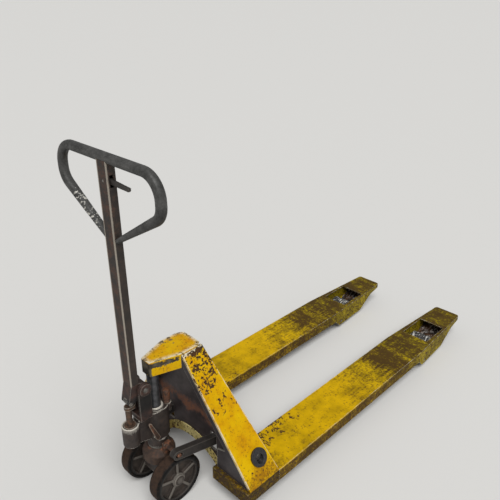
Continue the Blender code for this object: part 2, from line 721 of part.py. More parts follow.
def make_valve_lever():
    """Release valve's lever on the right of the casting, on a stub that turns in it."""
    pivot = at(PUMP_WIDTH / 2, VALVE_LEVER_Y, PUMP_BOTTOM + VALVE_LEVER_RISE)
    body = joint_body("valve", pivot, pump)
    tip_u = -VALVE_LEVER_LENGTH * math.sin(VALVE_LEVER_LEAN)
    tip_v = VALVE_LEVER_LENGTH * math.cos(VALVE_LEVER_LEAN)
    side = hull(circle(0, 0, VALVE_LEVER_EYE), circle(tip_u, tip_v, VALVE_LEVER_TIP))
    plate_x = PUMP_WIDTH / 2 + CLEARANCE + VALVE_LEVER_THICKNESS / 2
    plate_place = at(plate_x, VALVE_LEVER_Y, PUMP_BOTTOM + VALVE_LEVER_RISE)
    lever = piece(
        "valve_lever", outline_mesh(VALVE_LEVER_THICKNESS, side), rusty_steel, body, plate_place, FLAT_YZ
    )
    stub = rod_mesh(VALVE_STUB_RADIUS, -VALVE_STUB_LENGTH, CLEARANCE + VALVE_LEVER_THICKNESS / 2)
    shape(lever, "UNION", helper(stub, pivot, ALONG_X))


def make_plunger():
    """Plunger with its spring collar and tappet head, and the spring that lifts it again."""
    body = joint_body("plunger_slide", at(0, CUP_Y, TAPPET_TOP), pump)
    foot = CUP_FLOOR_Z - PLUNGER_BORE_DEPTH + PLUNGER_FOOT_GAP
    head_bottom = TAPPET_TOP - TAPPET_HEIGHT
    section = [
        (0, head_bottom + TAPPET_HEIGHT / 2),
        (PLUNGER_RADIUS, head_bottom + TAPPET_HEIGHT / 2),
        (PLUNGER_RADIUS, COLLAR_Z + COLLAR_HEIGHT),
        (COLLAR_RADIUS, COLLAR_Z + COLLAR_HEIGHT),
        (COLLAR_RADIUS, COLLAR_Z),
        (PLUNGER_RADIUS, COLLAR_Z),
        (PLUNGER_RADIUS, foot),
        (0, foot),
    ]
    rod = piece("plunger", profile_mesh(section, False), bright_steel, body, at(0, CUP_Y, 0), smooth=True)
    turn(rod)
    half = TAPPET_WIDTH / 2
    plan = hull(circle(0, 0, half), circle(0, TAPPET_TRAIL, half))
    head = outline_mesh(TAPPET_HEIGHT, plan)
    shape(rod, "UNION", helper(head, at(0, CUP_Y, head_bottom + TAPPET_HEIGHT / 2)))

    bottom = CUP_FLOOR_Z + CLEARANCE + SPRING_WIRE / 2
    rise = COLLAR_RISE - 2 * CLEARANCE - SPRING_WIRE
    coil = bpy.data.curves.new("coil", "CURVE")
    coil.dimensions = "3D"
    coil.bevel_depth = SPRING_WIRE / 2
    coil.bevel_resolution = 1
    coil.use_fill_caps = True
    spline = coil.splines.new("POLY")
    count = SPRING_TURNS * SPRING_POINTS_PER_TURN
    spline.points.add(count)
    path = []
    for step, point in enumerate(spline.points):
        angle = 2 * math.pi * step / SPRING_POINTS_PER_TURN
        height = bottom + rise * step / count
        path.append(Vector((SPRING_RADIUS * math.cos(angle), SPRING_RADIUS * math.sin(angle), height)))
        point.co = (*path[-1], 1)
    piece("plunger_spring", curve_mesh(coil), bright_steel, pump, at(0, CUP_Y, 0), smooth=True)
    half_turn = SPRING_POINTS_PER_TURN // 2
    apart = [(path[i] - path[j]).length for i in range(count + 1) for j in range(i - half_turn)]
    print("plunger_spring: least gap to itself", round(1000 * (min(apart) - SPRING_WIRE), 2), "mm")


def make_handle_bracket():
    """Forked bracket on the pump, with a round boss on each ear, and the pin that the handle tips on."""
    base_low = (-BRACKET_WIDTH / 2, BRACKET_FRONT, SEAT_Z)
    base_high = (BRACKET_WIDTH / 2, BRACKET_FRONT + BRACKET_DEPTH, SEAT_Z + BRACKET_BASE)
    bracket = piece("handle_bracket", box_mesh(base_low, base_high), dark_steel, pump, at(0, 0, 0))
    ear_foot = SEAT_Z + BRACKET_BASE / 2
    foot_corners = [(BRACKET_FRONT, ear_foot), (BRACKET_FRONT + BRACKET_DEPTH, ear_foot)]
    side = hull(circle(HANDLE_PIVOT_Y, HANDLE_PIVOT_Z, EAR_RADIUS, LARGE_ROUND), foot_corners)
    outside = BRACKET_WIDTH / 2
    for _, sign in SIDES:
        ear = outline_mesh(EAR, side)
        shape(bracket, "UNION", helper(ear, at(sign * (outside - EAR / 2), 0, 0), FLAT_YZ))
        ends = sorted((sign * (outside - EAR / 2), sign * (outside + BOSS_PROUD)))
        boss = rod_mesh(BOSS_RADIUS, *ends, LARGE_ROUND)
        shape(bracket, "UNION", helper(boss, at(0, HANDLE_PIVOT_Y, HANDLE_PIVOT_Z), ALONG_X))
    hole = rod_mesh(bore_radius(HANDLE_PIN_RADIUS), -BRACKET_WIDTH, BRACKET_WIDTH)
    shape(bracket, "DIFFERENCE", helper(hole, at(0, HANDLE_PIVOT_Y, HANDLE_PIVOT_Z), ALONG_X))
    reach = outside + BOSS_PROUD - HANDLE_PIN_INSET
    pin = rod_mesh(HANDLE_PIN_RADIUS, -reach, reach)
    piece("handle_pin", pin, bright_steel, pump, at(0, HANDLE_PIVOT_Y, HANDLE_PIVOT_Z), ALONG_X, True)


def make_handle_foot():
    """Cast foot of the handle: it tips on the pin and carries the roller that works the plunger."""
    toe_radius = CAM_ROLLER_RADIUS - CAM_ROLLER_PROUD
    shoulders = [(SHAFT_Y - SHAFT_DEPTH / 2, FOOT_TOP), (SHAFT_Y + SHAFT_DEPTH / 2, FOOT_TOP)]
    side = hull(
        circle(HANDLE_PIVOT_Y, HANDLE_PIVOT_Z, FOOT_RADIUS), circle(CAM_Y, CAM_Z, toe_radius), shoulders
    )
    foot = piece("handle_foot", outline_mesh(SHAFT_WIDTH, side), rusty_steel, handle, at(0, 0, 0), FLAT_YZ)
    across = SHAFT_WIDTH / 2 - SHAFT_WALL - CLEARANCE
    along = SHAFT_DEPTH / 2 - SHAFT_WALL - CLEARANCE
    overlap = SHAFT_WALL
    tongue = box_mesh(
        (-across, SHAFT_Y - along, FOOT_TOP - overlap),
        (across, SHAFT_Y + along, FOOT_TOP + TONGUE_HEIGHT),
    )
    shape(foot, "UNION", helper(tongue, at(0, 0, 0)))
    pocket_half = CAM_ROLLER_WIDTH / 2 + CLEARANCE
    pocket = rod_mesh(CAM_ROLLER_RADIUS + CAM_POCKET_GAP, -pocket_half, pocket_half)
    journal_hole = rod_mesh(bore_radius(CAM_JOURNAL_RADIUS), -SHAFT_WIDTH, SHAFT_WIDTH)
    pin_hole = rod_mesh(bore_radius(HANDLE_PIN_RADIUS), -SHAFT_WIDTH, SHAFT_WIDTH)
    shape(
        foot,
        "DIFFERENCE",
        helper(pocket, at(0, CAM_Y, CAM_Z), ALONG_X),
        helper(journal_hole, at(0, CAM_Y, CAM_Z), ALONG_X),
        helper(pin_hole, at(0, HANDLE_PIVOT_Y, HANDLE_PIVOT_Z), ALONG_X),
    )

    body = joint_body("cam", at(0, CAM_Y, CAM_Z), handle)
    reach = SHAFT_WIDTH / 2 - CLEARANCE
    width = CAM_ROLLER_WIDTH / 2
    section = [
        (0, reach),
        (CAM_JOURNAL_RADIUS, reach),
        (CAM_JOURNAL_RADIUS, width),
        (CAM_ROLLER_RADIUS, width),
        (CAM_ROLLER_RADIUS, -width),
        (CAM_JOURNAL_RADIUS, -width),
        (CAM_JOURNAL_RADIUS, -reach),
        (0, -reach),
    ]
    roller_mesh = profile_mesh(section, False)
    turn(piece("cam_roller", roller_mesh, bright_steel, body, at(0, CAM_Y, CAM_Z), ALONG_X, True))


def make_handle_shaft():
    """Flat-sided steel tube of the handle, open at the foot, cut to seat the loop and the control lever."""
    half = SHAFT_WIDTH / 2
    half_depth = SHAFT_DEPTH / 2
    bottom = FOOT_TOP + CLEARANCE
    outer = box_mesh((-half, SHAFT_Y - half_depth, bottom), (half, SHAFT_Y + half_depth, LOOP_Z))
    shaft = piece("handle_shaft", outer, rusty_steel, handle, at(0, 0, 0))
    inside = half - SHAFT_WALL
    inside_depth = half_depth - SHAFT_WALL
    inner = box_mesh(
        (-inside, SHAFT_Y - inside_depth, bottom - half), (inside, SHAFT_Y + inside_depth, LOOP_TOP + half)
    )
    saddle = rod_mesh(bore_radius(LOOP_TUBE / 2), -SHAFT_WIDTH, SHAFT_WIDTH)
    steepest = LEVER_SWING + math.atan(LEVER_TIP_DROP / LEVER_LENGTH)
    slot_half = LEVER_RADIUS / math.cos(steepest) + half * math.tan(steepest) + CLEARANCE
    side_half = LEVER_THICKNESS / 2 + SHAFT_WALL / 2
    slot = box_mesh(
        (0, SHAFT_Y - side_half, LEVER_Z - slot_half), (SHAFT_WIDTH, SHAFT_Y + side_half, LEVER_Z + slot_half)
    )
    pin_hole = rod_mesh(bore_radius(LEVER_PIN_RADIUS), -SHAFT_WIDTH, SHAFT_WIDTH)
    shape(
        shaft,
        "DIFFERENCE",
        helper(inner, at(0, 0, 0)),
        helper(saddle, at(0, SHAFT_Y, LOOP_Z), ALONG_X),
        helper(slot, at(0, 0, 0)),
        helper(pin_hole, at(0, SHAFT_Y, LEVER_Z), ALONG_Y),
    )


def rounded_path(corners, radii):
    """Points of a path through some corners, each rounded by an arc of its own radius."""
    path = [corners[0]]
    for before, corner, after, radius in zip(corners, corners[1:], corners[2:], radii):
        way_in = (corner - before).normalized()
        way_out = (after - corner).normalized()
        bend = way_in.angle(way_out)
        start = corner - way_in * radius * math.tan(bend / 2)
        inward = (way_out - way_in * way_in.dot(way_out)).normalized()
        centre = start + inward * radius
        for step in range(LOOP_FILLET_STEPS + 1):
            turned = bend * step / LOOP_FILLET_STEPS
            path.append(centre - inward * radius * math.cos(turned) + way_in * radius * math.sin(turned))
    return path + [corners[-1]]


def make_handle_loop():
    """Closed hand loop of round tube: a top bar, two shoulders and two strands down to the shaft."""
    reach = (LOOP_WIDTH - LOOP_TUBE) / 2
    shoulder = LOOP_Z - LOOP_SHOULDER_DROP
    strand_foot = shoulder - LOOP_STRAND_FALL
    corners = [
        Vector((0, 0, strand_foot)),
        Vector((-reach, 0, shoulder)),
        Vector((-reach, 0, LOOP_Z)),
        Vector((reach, 0, LOOP_Z)),
        Vector((reach, 0, shoulder)),
        Vector((0, 0, strand_foot)),
    ]
    radii = (LOOP_SIDE_FILLET, LOOP_TOP_FILLET, LOOP_TOP_FILLET, LOOP_SIDE_FILLET)
    path = rounded_path(corners, radii)
    clear = SHAFT_WIDTH / 2 + CLEARANCE
    steep = LOOP_STRAND_FALL / reach
    end = (clear - LOOP_TUBE / 2 * steep) * 0.5
    path[0] = Vector((-end, 0, strand_foot + end * steep))
    path[-1] = Vector((end, 0, strand_foot + end * steep))
    tube = bpy.data.curves.new("tube", "CURVE")
    tube.dimensions = "3D"
    tube.bevel_depth = LOOP_TUBE / 2
    tube.bevel_resolution = 4
    spline = tube.splines.new("POLY")
    spline.points.add(len(path) - 1)
    for point, place in zip(spline.points, path):
        point.co = (*place, 1)
    loop = piece("handle_loop", curve_mesh(tube), grey_steel, handle, at(0, SHAFT_Y, 0), smooth=True)
    wall = loop.modifiers.new("Tube wall", "SOLIDIFY")
    wall.thickness = LOOP_WALL
    wall.offset = -1
    low = (-clear, -clear, strand_foot - SHAFT_WIDTH)
    high = (clear, clear, strand_foot + 2 * SHAFT_WIDTH)
    shape(loop, "DIFFERENCE", helper(box_mesh(low, high), at(0, SHAFT_Y, 0)))


def make_control_lever():
    """Finger lever in the loop, its pin across the shaft, and the rod that it lifts inside the shaft."""
    pivot = at(0, SHAFT_Y, LEVER_Z)
    body = joint_body("control", pivot, handle)
    outline = hull(
        circle(0, 0, LEVER_RADIUS),
        circle(LEVER_LENGTH, -LEVER_TIP_DROP, LEVER_TIP_RADIUS),
        circle(-LEVER_TAIL, 0, LEVER_TAIL_RADIUS),
    )
    eye = circle(0, 0, bore_radius(LEVER_PIN_RADIUS))
    lever_mesh = outline_mesh(LEVER_THICKNESS, outline, eye)
    piece("control_lever", lever_mesh, rusty_steel, body, pivot, FLAT_XZ)
    pin = rod_mesh(LEVER_PIN_RADIUS, -SHAFT_DEPTH / 2, SHAFT_DEPTH / 2)
    piece("lever_pin", pin, bright_steel, handle, pivot, ALONG_Y, True)
    rod_foot = FOOT_TOP + TONGUE_HEIGHT + RELEASE_ROD_FOOT
    rod_top = LEVER_Z - LEVER_TAIL_RADIUS - RELEASE_ROD_GAP
    rod_x = -LEVER_TAIL - RELEASE_ROD_OFFSET
    rod_body = joint_body("release", at(rod_x, SHAFT_Y, rod_foot), handle)
    rod = rod_mesh(RELEASE_ROD_RADIUS, rod_foot, rod_top)
    piece("release_rod", rod, bright_steel, rod_body, at(rod_x, SHAFT_Y, 0), smooth=True)


def make_head():
    """Head of the frame: a top plate whose front is a pointed nose with walls down round the ram."""
    nose_back = LEG_TOP_FRONT - HEAD_WALL / 2
    rear = LEG_TOP_FRONT + LEG_TOP_DEPTH
    half = HEAD_WIDTH / 2
    right_edge = [
        (HEAD_NOSE_WIDTH / 2, HEAD_NOSE_FRONT),
        (half, nose_back),
        (half, rear - HEAD_REAR_TAPER),
        (HEAD_REAR_WIDTH / 2, rear),
    ]
    plan = right_edge + [(-x, y) for x, y in reversed(right_edge)]
    head_mesh = outline_mesh(HEAD_NOSE_DEPTH, plan)
    head = piece("head_cap", head_mesh, yellow_paint, frame, at(0, 0, HEAD_TOP - HEAD_NOSE_DEPTH / 2))
    flare = (half - HEAD_NOSE_WIDTH / 2) / (nose_back - HEAD_NOSE_FRONT)
    side_wall = HEAD_WALL * math.hypot(1, flare)
    inside_front = HEAD_NOSE_WIDTH / 2 + flare * HEAD_WALL - side_wall
    inside_back = half - side_wall
    room_edge = [
        (inside_front, HEAD_NOSE_FRONT + HEAD_WALL),
        (inside_back, nose_back),
        (HEAD_WIDTH, nose_back - flare * (HEAD_WIDTH - inside_back)),
        (HEAD_WIDTH, rear + HEAD_WIDTH),
    ]
    room = outline_mesh(2 * HEAD_NOSE_DEPTH, room_edge + [(-x, y) for x, y in reversed(room_edge)])
    shape(head, "DIFFERENCE", helper(room, at(0, 0, HEAD_BOTTOM - HEAD_NOSE_DEPTH)))

    seat_bottom = LEG_TOP_Z - RAM_SEAT_HEIGHT
    seat = rod_mesh(RAM_SEAT_RADIUS, seat_bottom, LEG_TOP_Z)
    piece("ram_seat", seat, dark_steel, frame, at(0, 0, 0), smooth=True)
    ram_top = seat_bottom - CLEARANCE
    step = HEAD_TOP - HEAD_NOSE_DEPTH - RAM_STEP_DROP
    ram_foot = RAM_BORE_FLOOR + RAM_FOOT_GAP
    section = [
        (0, ram_top),
        (RAM_NECK_RADIUS, ram_top),
        (RAM_NECK_RADIUS, step),
        (RAM_RADIUS, step),
        (RAM_RADIUS, ram_foot),
        (0, ram_foot),
    ]
    turn(piece("ram", profile_mesh(section, False), bright_steel, frame, at(0, 0, 0), smooth=True))


def make_leg(side, sign):
    """Slanting leg plate from the head down to the fork's heel, with the dark flange along its front."""
    heights = (LEG_FOOT_Z, LEG_TOP_Z)
    rears = (HEEL_REAR - CLEARANCE, LEG_TOP_FRONT + LEG_TOP_DEPTH)

    def corner(point):
        level = point.z > 0
        height = heights[level]
        across = leg_outside(height) - (LEG_THICKNESS if point.x < 0 else 0)
        along = rears[level] if point.y > 0 else leg_front(height)
        return Vector((sign * across, along, height)) - point

    mesh = tidy_mesh(sheared(box_mesh((-1, -1, -1), (1, 1, 1)), corner))
    leg = piece("leg_" + side, mesh, yellow_paint, frame, at(0, 0, 0))
    bush_radius = ROCKER_SHAFT_RADIUS + BUSH_WALL
    hole = rod_mesh(bore_radius(bush_radius), -FORK_SPAN, FORK_SPAN)
    shape(leg, "DIFFERENCE", helper(hole, at(0, ROCKER_Y, ROCKER_Z), ALONG_X))

    top = LEG_TOP_Z - FLANGE_TOP_GAP
    knee = LEG_FOOT_Z + FLANGE_KNEE_RISE
    step = knee + FLANGE_KNEE_STEP
    foot_inside = FORK_SPAN / 2 - LEG_THICKNESS - FLANGE_FOOT_WIDTH
    outline = [
        (beside_leg(LEG_FOOT_Z), LEG_FOOT_Z),
        (beside_leg(top), top),
        (beside_leg(top) - FLANGE_BAND, top),
        (beside_leg(step) - FLANGE_BAND, step),
        (beside_leg(step) - FLANGE_BAND - FLANGE_KNEE_WIDTH, knee),
        (foot_inside, LEG_FOOT_Z),
    ]
    flange_mesh = outline_mesh(FLANGE_THICKNESS, [(sign * x, z) for x, z in outline])
    lean = (LEG_TOP_FRONT - LEG_FOOT_FRONT) / (LEG_TOP_Z - LEG_FOOT_Z)
    sheared(flange_mesh, lambda point: Vector((0, 0, -lean * (point.y - LEG_FOOT_Z))))
    flange_y = LEG_FOOT_FRONT + FLANGE_THICKNESS / 2
    piece("leg_flange_" + side, tidy_mesh(flange_mesh), dark_steel, frame, at(0, flange_y, 0), FLAT_XZ)

    slant = math.atan(LEG_LEAN)
    face_x = leg_outside(ROCKER_Z)
    ring = rod_mesh(BUSH_RING_RADIUS, CLEARANCE, CLEARANCE + BUSH_RING_THICKNESS, LARGE_ROUND)
    ring_turn = (0, sign * (math.pi / 2 - slant), 0)
    bush_place = at(sign * face_x, ROCKER_Y, ROCKER_Z)
    bush = piece("pivot_bush_" + side, ring, black_plastic, frame, bush_place, ring_turn, True)
    inner_end = FORK_X + ROCKER_LEVER_THICKNESS / 2 + BUSH_LEVER_GAP
    sleeve = rod_mesh(bush_radius, inner_end - face_x, BUSH_RING_THICKNESS / 2)
    sheared(sleeve, lambda point: Vector((0, 0, LEG_LEAN * point.x if point.z > 0 else 0)))
    if sign < 0:
        sheared(sleeve, lambda point: Vector((0, 0, -2 * point.z)))
    shape(bush, "UNION", helper(tidy_mesh(sleeve), bush_place, ALONG_X))
    bore = rod_mesh(bore_radius(ROCKER_SHAFT_RADIUS), -FORK_SPAN, FORK_SPAN)
    shape(bush, "DIFFERENCE", helper(bore, at(0, ROCKER_Y, ROCKER_Z), ALONG_X))


def make_back_plate():
    """Bulkhead between the legs, with a window for each link arm, arched below, and the arch's rim."""
    top = LEG_TOP_Z - CLEARANCE
    arm_lean = (ARM_BOSS_X - ARM_EYE_X) / ROCKER_Y
    arm_x = ARM_EYE_X + arm_lean * (BACK_PLATE_Y + BACK_PLATE_THICKNESS / 2)
    slot_half = ARM_WIDTH / 2 + arm_lean * BACK_PLATE_THICKNESS + ARM_SLOT_GAP
    between_heels = FORK_X - FORK_WIDTH / 2 - CLEARANCE
    rise = ARCH_CROWN - ARCH_FOOT
    radius = (between_heels ** 2 + rise ** 2) / (2 * rise)
    reach = math.asin(between_heels / radius)
    turns = [reach * (1 - 2 * step / ARCH_STEPS) for step in range(ARCH_STEPS + 1)]
    arch = [(radius * math.sin(angle), ARCH_CROWN - radius * (1 - math.cos(angle))) for angle in turns]
    half = [(beside_leg(top), top), (beside_leg(LEG_FOOT_Z), LEG_FOOT_Z), (between_heels, LEG_FOOT_Z)]
    outline = half + arch + [(-x, z) for x, z in reversed(half)]
    slots = []
    for _, sign in SIDES:
        slots.append([
            (sign * arm_x - slot_half, ROCKER_Z - ARM_SLOT_BELOW),
            (sign * arm_x + slot_half, ROCKER_Z - ARM_SLOT_BELOW),
            (sign * arm_x + slot_half, ROCKER_Z + ARM_SLOT_ABOVE),
            (sign * arm_x - slot_half, ROCKER_Z + ARM_SLOT_ABOVE),
        ])
    plate_y = BACK_PLATE_Y + BACK_PLATE_THICKNESS / 2
    plate = outline_mesh(BACK_PLATE_THICKNESS, outline, *slots)
    piece("back_plate", plate, dark_steel, frame, at(0, plate_y, 0), FLAT_XZ)
    rim_y = BACK_PLATE_Y - CLEARANCE - ARCH_RIM_THICKNESS / 2
    rim = outline_mesh(ARCH_RIM_THICKNESS, arch + [(x, z + ARCH_RIM_HEIGHT) for x, z in reversed(arch)])
    piece("arch_rim", rim, yellow_paint, frame, at(0, rim_y, 0), FLAT_XZ)


def make_heel(side, sign):
    """Heel of a fork: the pressed channel under the leg, with a slot for the rocker lever."""
    x = sign * FORK_X
    half = FORK_WIDTH / 2
    skirt_z = FORK_TOP - FORK_SKIRT
    low = (-half, HEEL_FRONT, skirt_z)
    heel_mesh = box_mesh(low, (half, HEEL_REAR, FORK_TOP))
    heel = piece("fork_heel_" + side, heel_mesh, yellow_paint, frame, at(x, 0, 0))
    room = box_mesh(
        (FORK_PLATE - half, HEEL_FRONT + FORK_PLATE, skirt_z - FORK_SKIRT),
        (half - FORK_PLATE, HEEL_REAR + FORK_WIDTH, FORK_TOP - FORK_PLATE),
    )
    slot_half = ROCKER_LEVER_THICKNESS / 2 + LEVER_SLOT_GAP
    slot = box_mesh(
        (-slot_half, ROCKER_Y - LEVER_SLOT_FRONT, skirt_z),
        (slot_half, ROCKER_Y + LEVER_SLOT_REAR, FORK_TOP + FORK_SKIRT),
    )
    shape(heel, "DIFFERENCE", helper(room, at(x, 0, 0)), helper(slot, at(x, 0, 0)))


def make_fork(side, sign):
    """Fork: a pressed channel, deep round the load roller, its low tip closed below by a nose plate."""
    x = sign * FORK_X
    taper_start = BRACKET_PIVOT_Y - DEEP_SKIRT_AHEAD - SKIRT_RAMP

    def half_width(y):
        share = max(0, (y - taper_start) / (FORK_TIP - taper_start))
        return (FORK_WIDTH + share * (FORK_TIP_WIDTH - FORK_WIDTH)) / 2

    def plan(front, rear, wall):
        edge = [(half_width(y) - wall, y) for y in (front, taper_start, rear)]
        return edge + [(-width, y) for width, y in reversed(edge)]

    height = FORK_DEEP_SKIRT
    fork_mesh = outline_mesh(height, plan(FORK_FRONT, FORK_TIP, 0))
    fork = piece("fork_" + side, fork_mesh, yellow_paint, frame, at(x, 0, FORK_TOP - height / 2))
    room = outline_mesh(2 * height, plan(FORK_FRONT - FORK_WIDTH, FORK_TIP - FORK_PLATE, FORK_PLATE))
    deep = FORK_TOP - FORK_DEEP_SKIRT
    shallow = FORK_TOP - FORK_SKIRT
    deep_front = taper_start + SKIRT_RAMP
    deep_rear = LOAD_AXLE_Y + DEEP_SKIRT_BEHIND
    ramp_end = FORK_TIP - FORK_TIP_RAMP
    tip_rise = (FORK_TIP_RAMP_HEIGHT - FORK_TIP_HEIGHT) / FORK_TIP_RAMP
    past = FORK_WIDTH
    nose = [
        (deep_rear, deep),
        (ramp_end, FORK_TOP - FORK_TIP_RAMP_HEIGHT),
        (FORK_TIP + past, FORK_TOP - FORK_TIP_HEIGHT + tip_rise * past),
    ]
    under = [
        (FORK_FRONT - past, deep - past),
        (FORK_FRONT - past, shallow),
        (taper_start, shallow),
        (deep_front, deep),
        *nose,
        (FORK_TIP + past, deep - past),
    ]
    below = outline_mesh(2 * FORK_WIDTH, under)
    closing = [(deep_rear, deep - past)]
    closing += [(y, z + FORK_NOSE_PLATE) for y, z in nose]
    closing += [(FORK_TIP + past, deep - past)]
    nose_plate = outline_mesh(2 * FORK_WIDTH, closing)
    room_tool = helper(room, at(x, 0, FORK_TOP - FORK_PLATE - height))
    shape(room_tool, "DIFFERENCE", helper(nose_plate, at(x, 0, 0), FLAT_YZ))
    slot_half = ROLLER_SLOT_WIDTH / 2
    slot = box_mesh(
        (-slot_half, LOAD_AXLE_Y - ROLLER_SLOT_AHEAD, FORK_TOP - 2 * FORK_PLATE),
        (slot_half, LOAD_AXLE_Y + ROLLER_SLOT_BEHIND, FORK_TOP + FORK_SKIRT),
    )
    pin_hole = rod_mesh(bore_radius(BRACKET_PIN_RADIUS), -FORK_WIDTH, FORK_WIDTH)
    shape(
        fork,
        "DIFFERENCE",
        room_tool,
        helper(below, at(x, 0, 0), FLAT_YZ),
        helper(slot, at(x, 0, 0)),
        helper(pin_hole, at(x, BRACKET_PIVOT_Y, BRACKET_PIVOT_Z), ALONG_X),
    )
    reach = half_width(BRACKET_PIVOT_Y) - BRACKET_PIN_INSET
    pin = rod_mesh(BRACKET_PIN_RADIUS, -reach, reach)
    pin_place = at(x, BRACKET_PIVOT_Y, BRACKET_PIVOT_Z)
    piece("bracket_pin_" + side, pin, bright_steel, frame, pin_place, ALONG_X, True)


def make_rocker_shaft():
    """Rocker shaft across the frame, which turns in the two pivot bushes."""
    half = leg_outside(ROCKER_Z) + ROCKER_SHAFT_PROUD
    shaft = rod_mesh(ROCKER_SHAFT_RADIUS, -half, half)
    piece("rocker_shaft", shaft, grey_steel, rocker, at(0, ROCKER_Y, ROCKER_Z), ALONG_X, True)


def make_link_arm(side, sign):
    """Arm from the steering ring's trunnion back to the rocker shaft, with play in its front eye."""
    back = ROCKER_REACH
    bar = [(0, -ARM_DEPTH / 2), (0, ARM_DEPTH / 2), (back, ARM_DEPTH / 2), (back, -ARM_DEPTH / 2)]
    hole = bore_radius(TRUNNION_RADIUS + ARM_EYE_SIDE_PLAY)
    play = hull(circle(-ARM_EYE_PLAY, 0, hole), circle(ARM_EYE_PLAY, 0, hole))
    eye_ring = hull(circle(-ARM_EYE_PLAY, 0, ARM_EYE_RADIUS), circle(ARM_EYE_PLAY, 0, ARM_EYE_RADIUS))
    outline = hull(eye_ring, bar[:2], bar[2:], circle(back, 0, ARM_DEPTH / 2))
    mesh = outline_mesh(ARM_WIDTH, outline, play)
    lean = sign * (ARM_BOSS_X - ARM_EYE_X) / back
    sheared(mesh, lambda point: Vector((0, 0, lean * point.x)))
    arm_turn = Matrix.Rotation(-ROCKER_START, 3, "X") @ Matrix(((0, 0, 1), (1, 0, 0), (0, 1, 0)))
    arm_place = at(sign * ARM_EYE_X, 0, TRUNNION_Z)
    arm = piece("link_arm_" + side, mesh, dark_steel, rocker, arm_place, arm_turn.to_euler())
    boss_place = at(sign * ARM_BOSS_X, ROCKER_Y, ROCKER_Z)
    boss = rod_mesh(ARM_BOSS_RADIUS, -ARM_WIDTH / 2, ARM_WIDTH / 2)
    shape(arm, "UNION", helper(boss, boss_place, ALONG_X))
    bore = rod_mesh(bore_radius(ROCKER_SHAFT_RADIUS), -2 * ARM_WIDTH, 2 * ARM_WIDTH)
    shape(arm, "DIFFERENCE", helper(bore, boss_place, ALONG_X))


def make_rocker_lever(side, sign):
    """Lever down from the rocker shaft into the fork's heel, with the cross pin of the push rod."""
    x = sign * FORK_X
    bore = bore_radius(ROCKER_SHAFT_RADIUS)
    outline = hull(
        circle(ROCKER_Y, ROCKER_Z, ARM_BOSS_RADIUS), circle(LEVER_EYE_Y, LEVER_EYE_Z, LEVER_EYE_RADIUS)
    )
    mesh = outline_mesh(ROCKER_LEVER_THICKNESS, outline, circle(ROCKER_Y, ROCKER_Z, bore))
    lever = piece("rocker_lever_" + side, mesh, dark_steel, rocker, at(x, 0, 0), FLAT_YZ)
    reach = ROCKER_LEVER_THICKNESS / 2 + CLEVIS_GAP + CLEVIS_CHEEK + CLEVIS_GAP
    pin = rod_mesh(ROD_PIN_RADIUS, -reach, reach)
    shape(lever, "UNION", helper(pin, at(x, LEVER_EYE_Y, LEVER_EYE_Z), ALONG_X))


def make_push_rod(side, sign):
    """Push rod along the fork: a clevis on the rocker lever's pin, a bar, and an eye on the bracket's pin."""
    x = sign * FORK_X
    start = at(x, LEVER_EYE_Y, LEVER_EYE_Z)
    body = joint_body("push_" + side, start, rocker)
    length = math.hypot(CROSS_PIN_Y - LEVER_EYE_Y, CROSS_PIN_Z - LEVER_EYE_Z)
    slope = math.atan2(CROSS_PIN_Z - LEVER_EYE_Z, CROSS_PIN_Y - LEVER_EYE_Y)
    along = Matrix.Rotation(slope, 3, "X")
    turned = along.to_euler()
    bar_end = length - ROD_EYE_RADIUS / 2
    bar = box_mesh((-ROD_WIDTH / 2, CLEVIS_DEPTH, -ROD_DEPTH / 2), (ROD_WIDTH / 2, bar_end, ROD_DEPTH / 2))
    rod = piece("push_rod_" + side, bar, dark_steel, body, start, turned)
    cheek_inside = ROCKER_LEVER_THICKNESS / 2 + CLEVIS_GAP
    cheek_middle = cheek_inside + CLEVIS_CHEEK / 2
    block_end = CLEVIS_DEPTH + CLEVIS_BLOCK
    cheek_end = ROD_DEPTH / 2 + CLEVIS_GAP
    cheek_side = hull(circle(0, 0, CLEVIS_RADIUS), [(block_end, cheek_end), (block_end, -cheek_end)])
    hole = circle(0, 0, bore_radius(ROD_PIN_RADIUS))
    upright = Matrix(((0, 0, 1), (1, 0, 0), (0, 1, 0)))
    flat_turn = (along @ upright).to_euler()
    for _, cheek in SIDES:
        cheek_mesh = outline_mesh(CLEVIS_CHEEK, cheek_side, hole)
        shape(rod, "UNION", helper(cheek_mesh, start + Vector((cheek * cheek_middle, 0, 0)), flat_turn))
    block_half = cheek_inside + CLEVIS_CHEEK / 2
    block_depth = ROD_DEPTH / 2 - CLEVIS_GAP
    block = box_mesh(
        (-block_half, CLEVIS_DEPTH, -block_depth), (block_half, block_end - CLEVIS_GAP, block_depth)
    )
    shape(rod, "UNION", helper(block, start, turned))
    eye = hull(circle(0, 0, ROD_EYE_RADIUS), circle(0, ROD_EYE_PLAY, ROD_EYE_RADIUS))
    slot_radius = bore_radius(CROSS_PIN_RADIUS + ROD_EYE_SIDE_PLAY)
    slot = hull(circle(0, 0, slot_radius), circle(0, ROD_EYE_PLAY, slot_radius))
    end = at(x, CROSS_PIN_Y, CROSS_PIN_Z)
    shape(rod, "UNION", helper(outline_mesh(ROD_WIDTH + CLEVIS_GAP, eye), end, FLAT_YZ))
    shape(rod, "DIFFERENCE", helper(outline_mesh(2 * ROD_WIDTH, slot), end, FLAT_YZ))


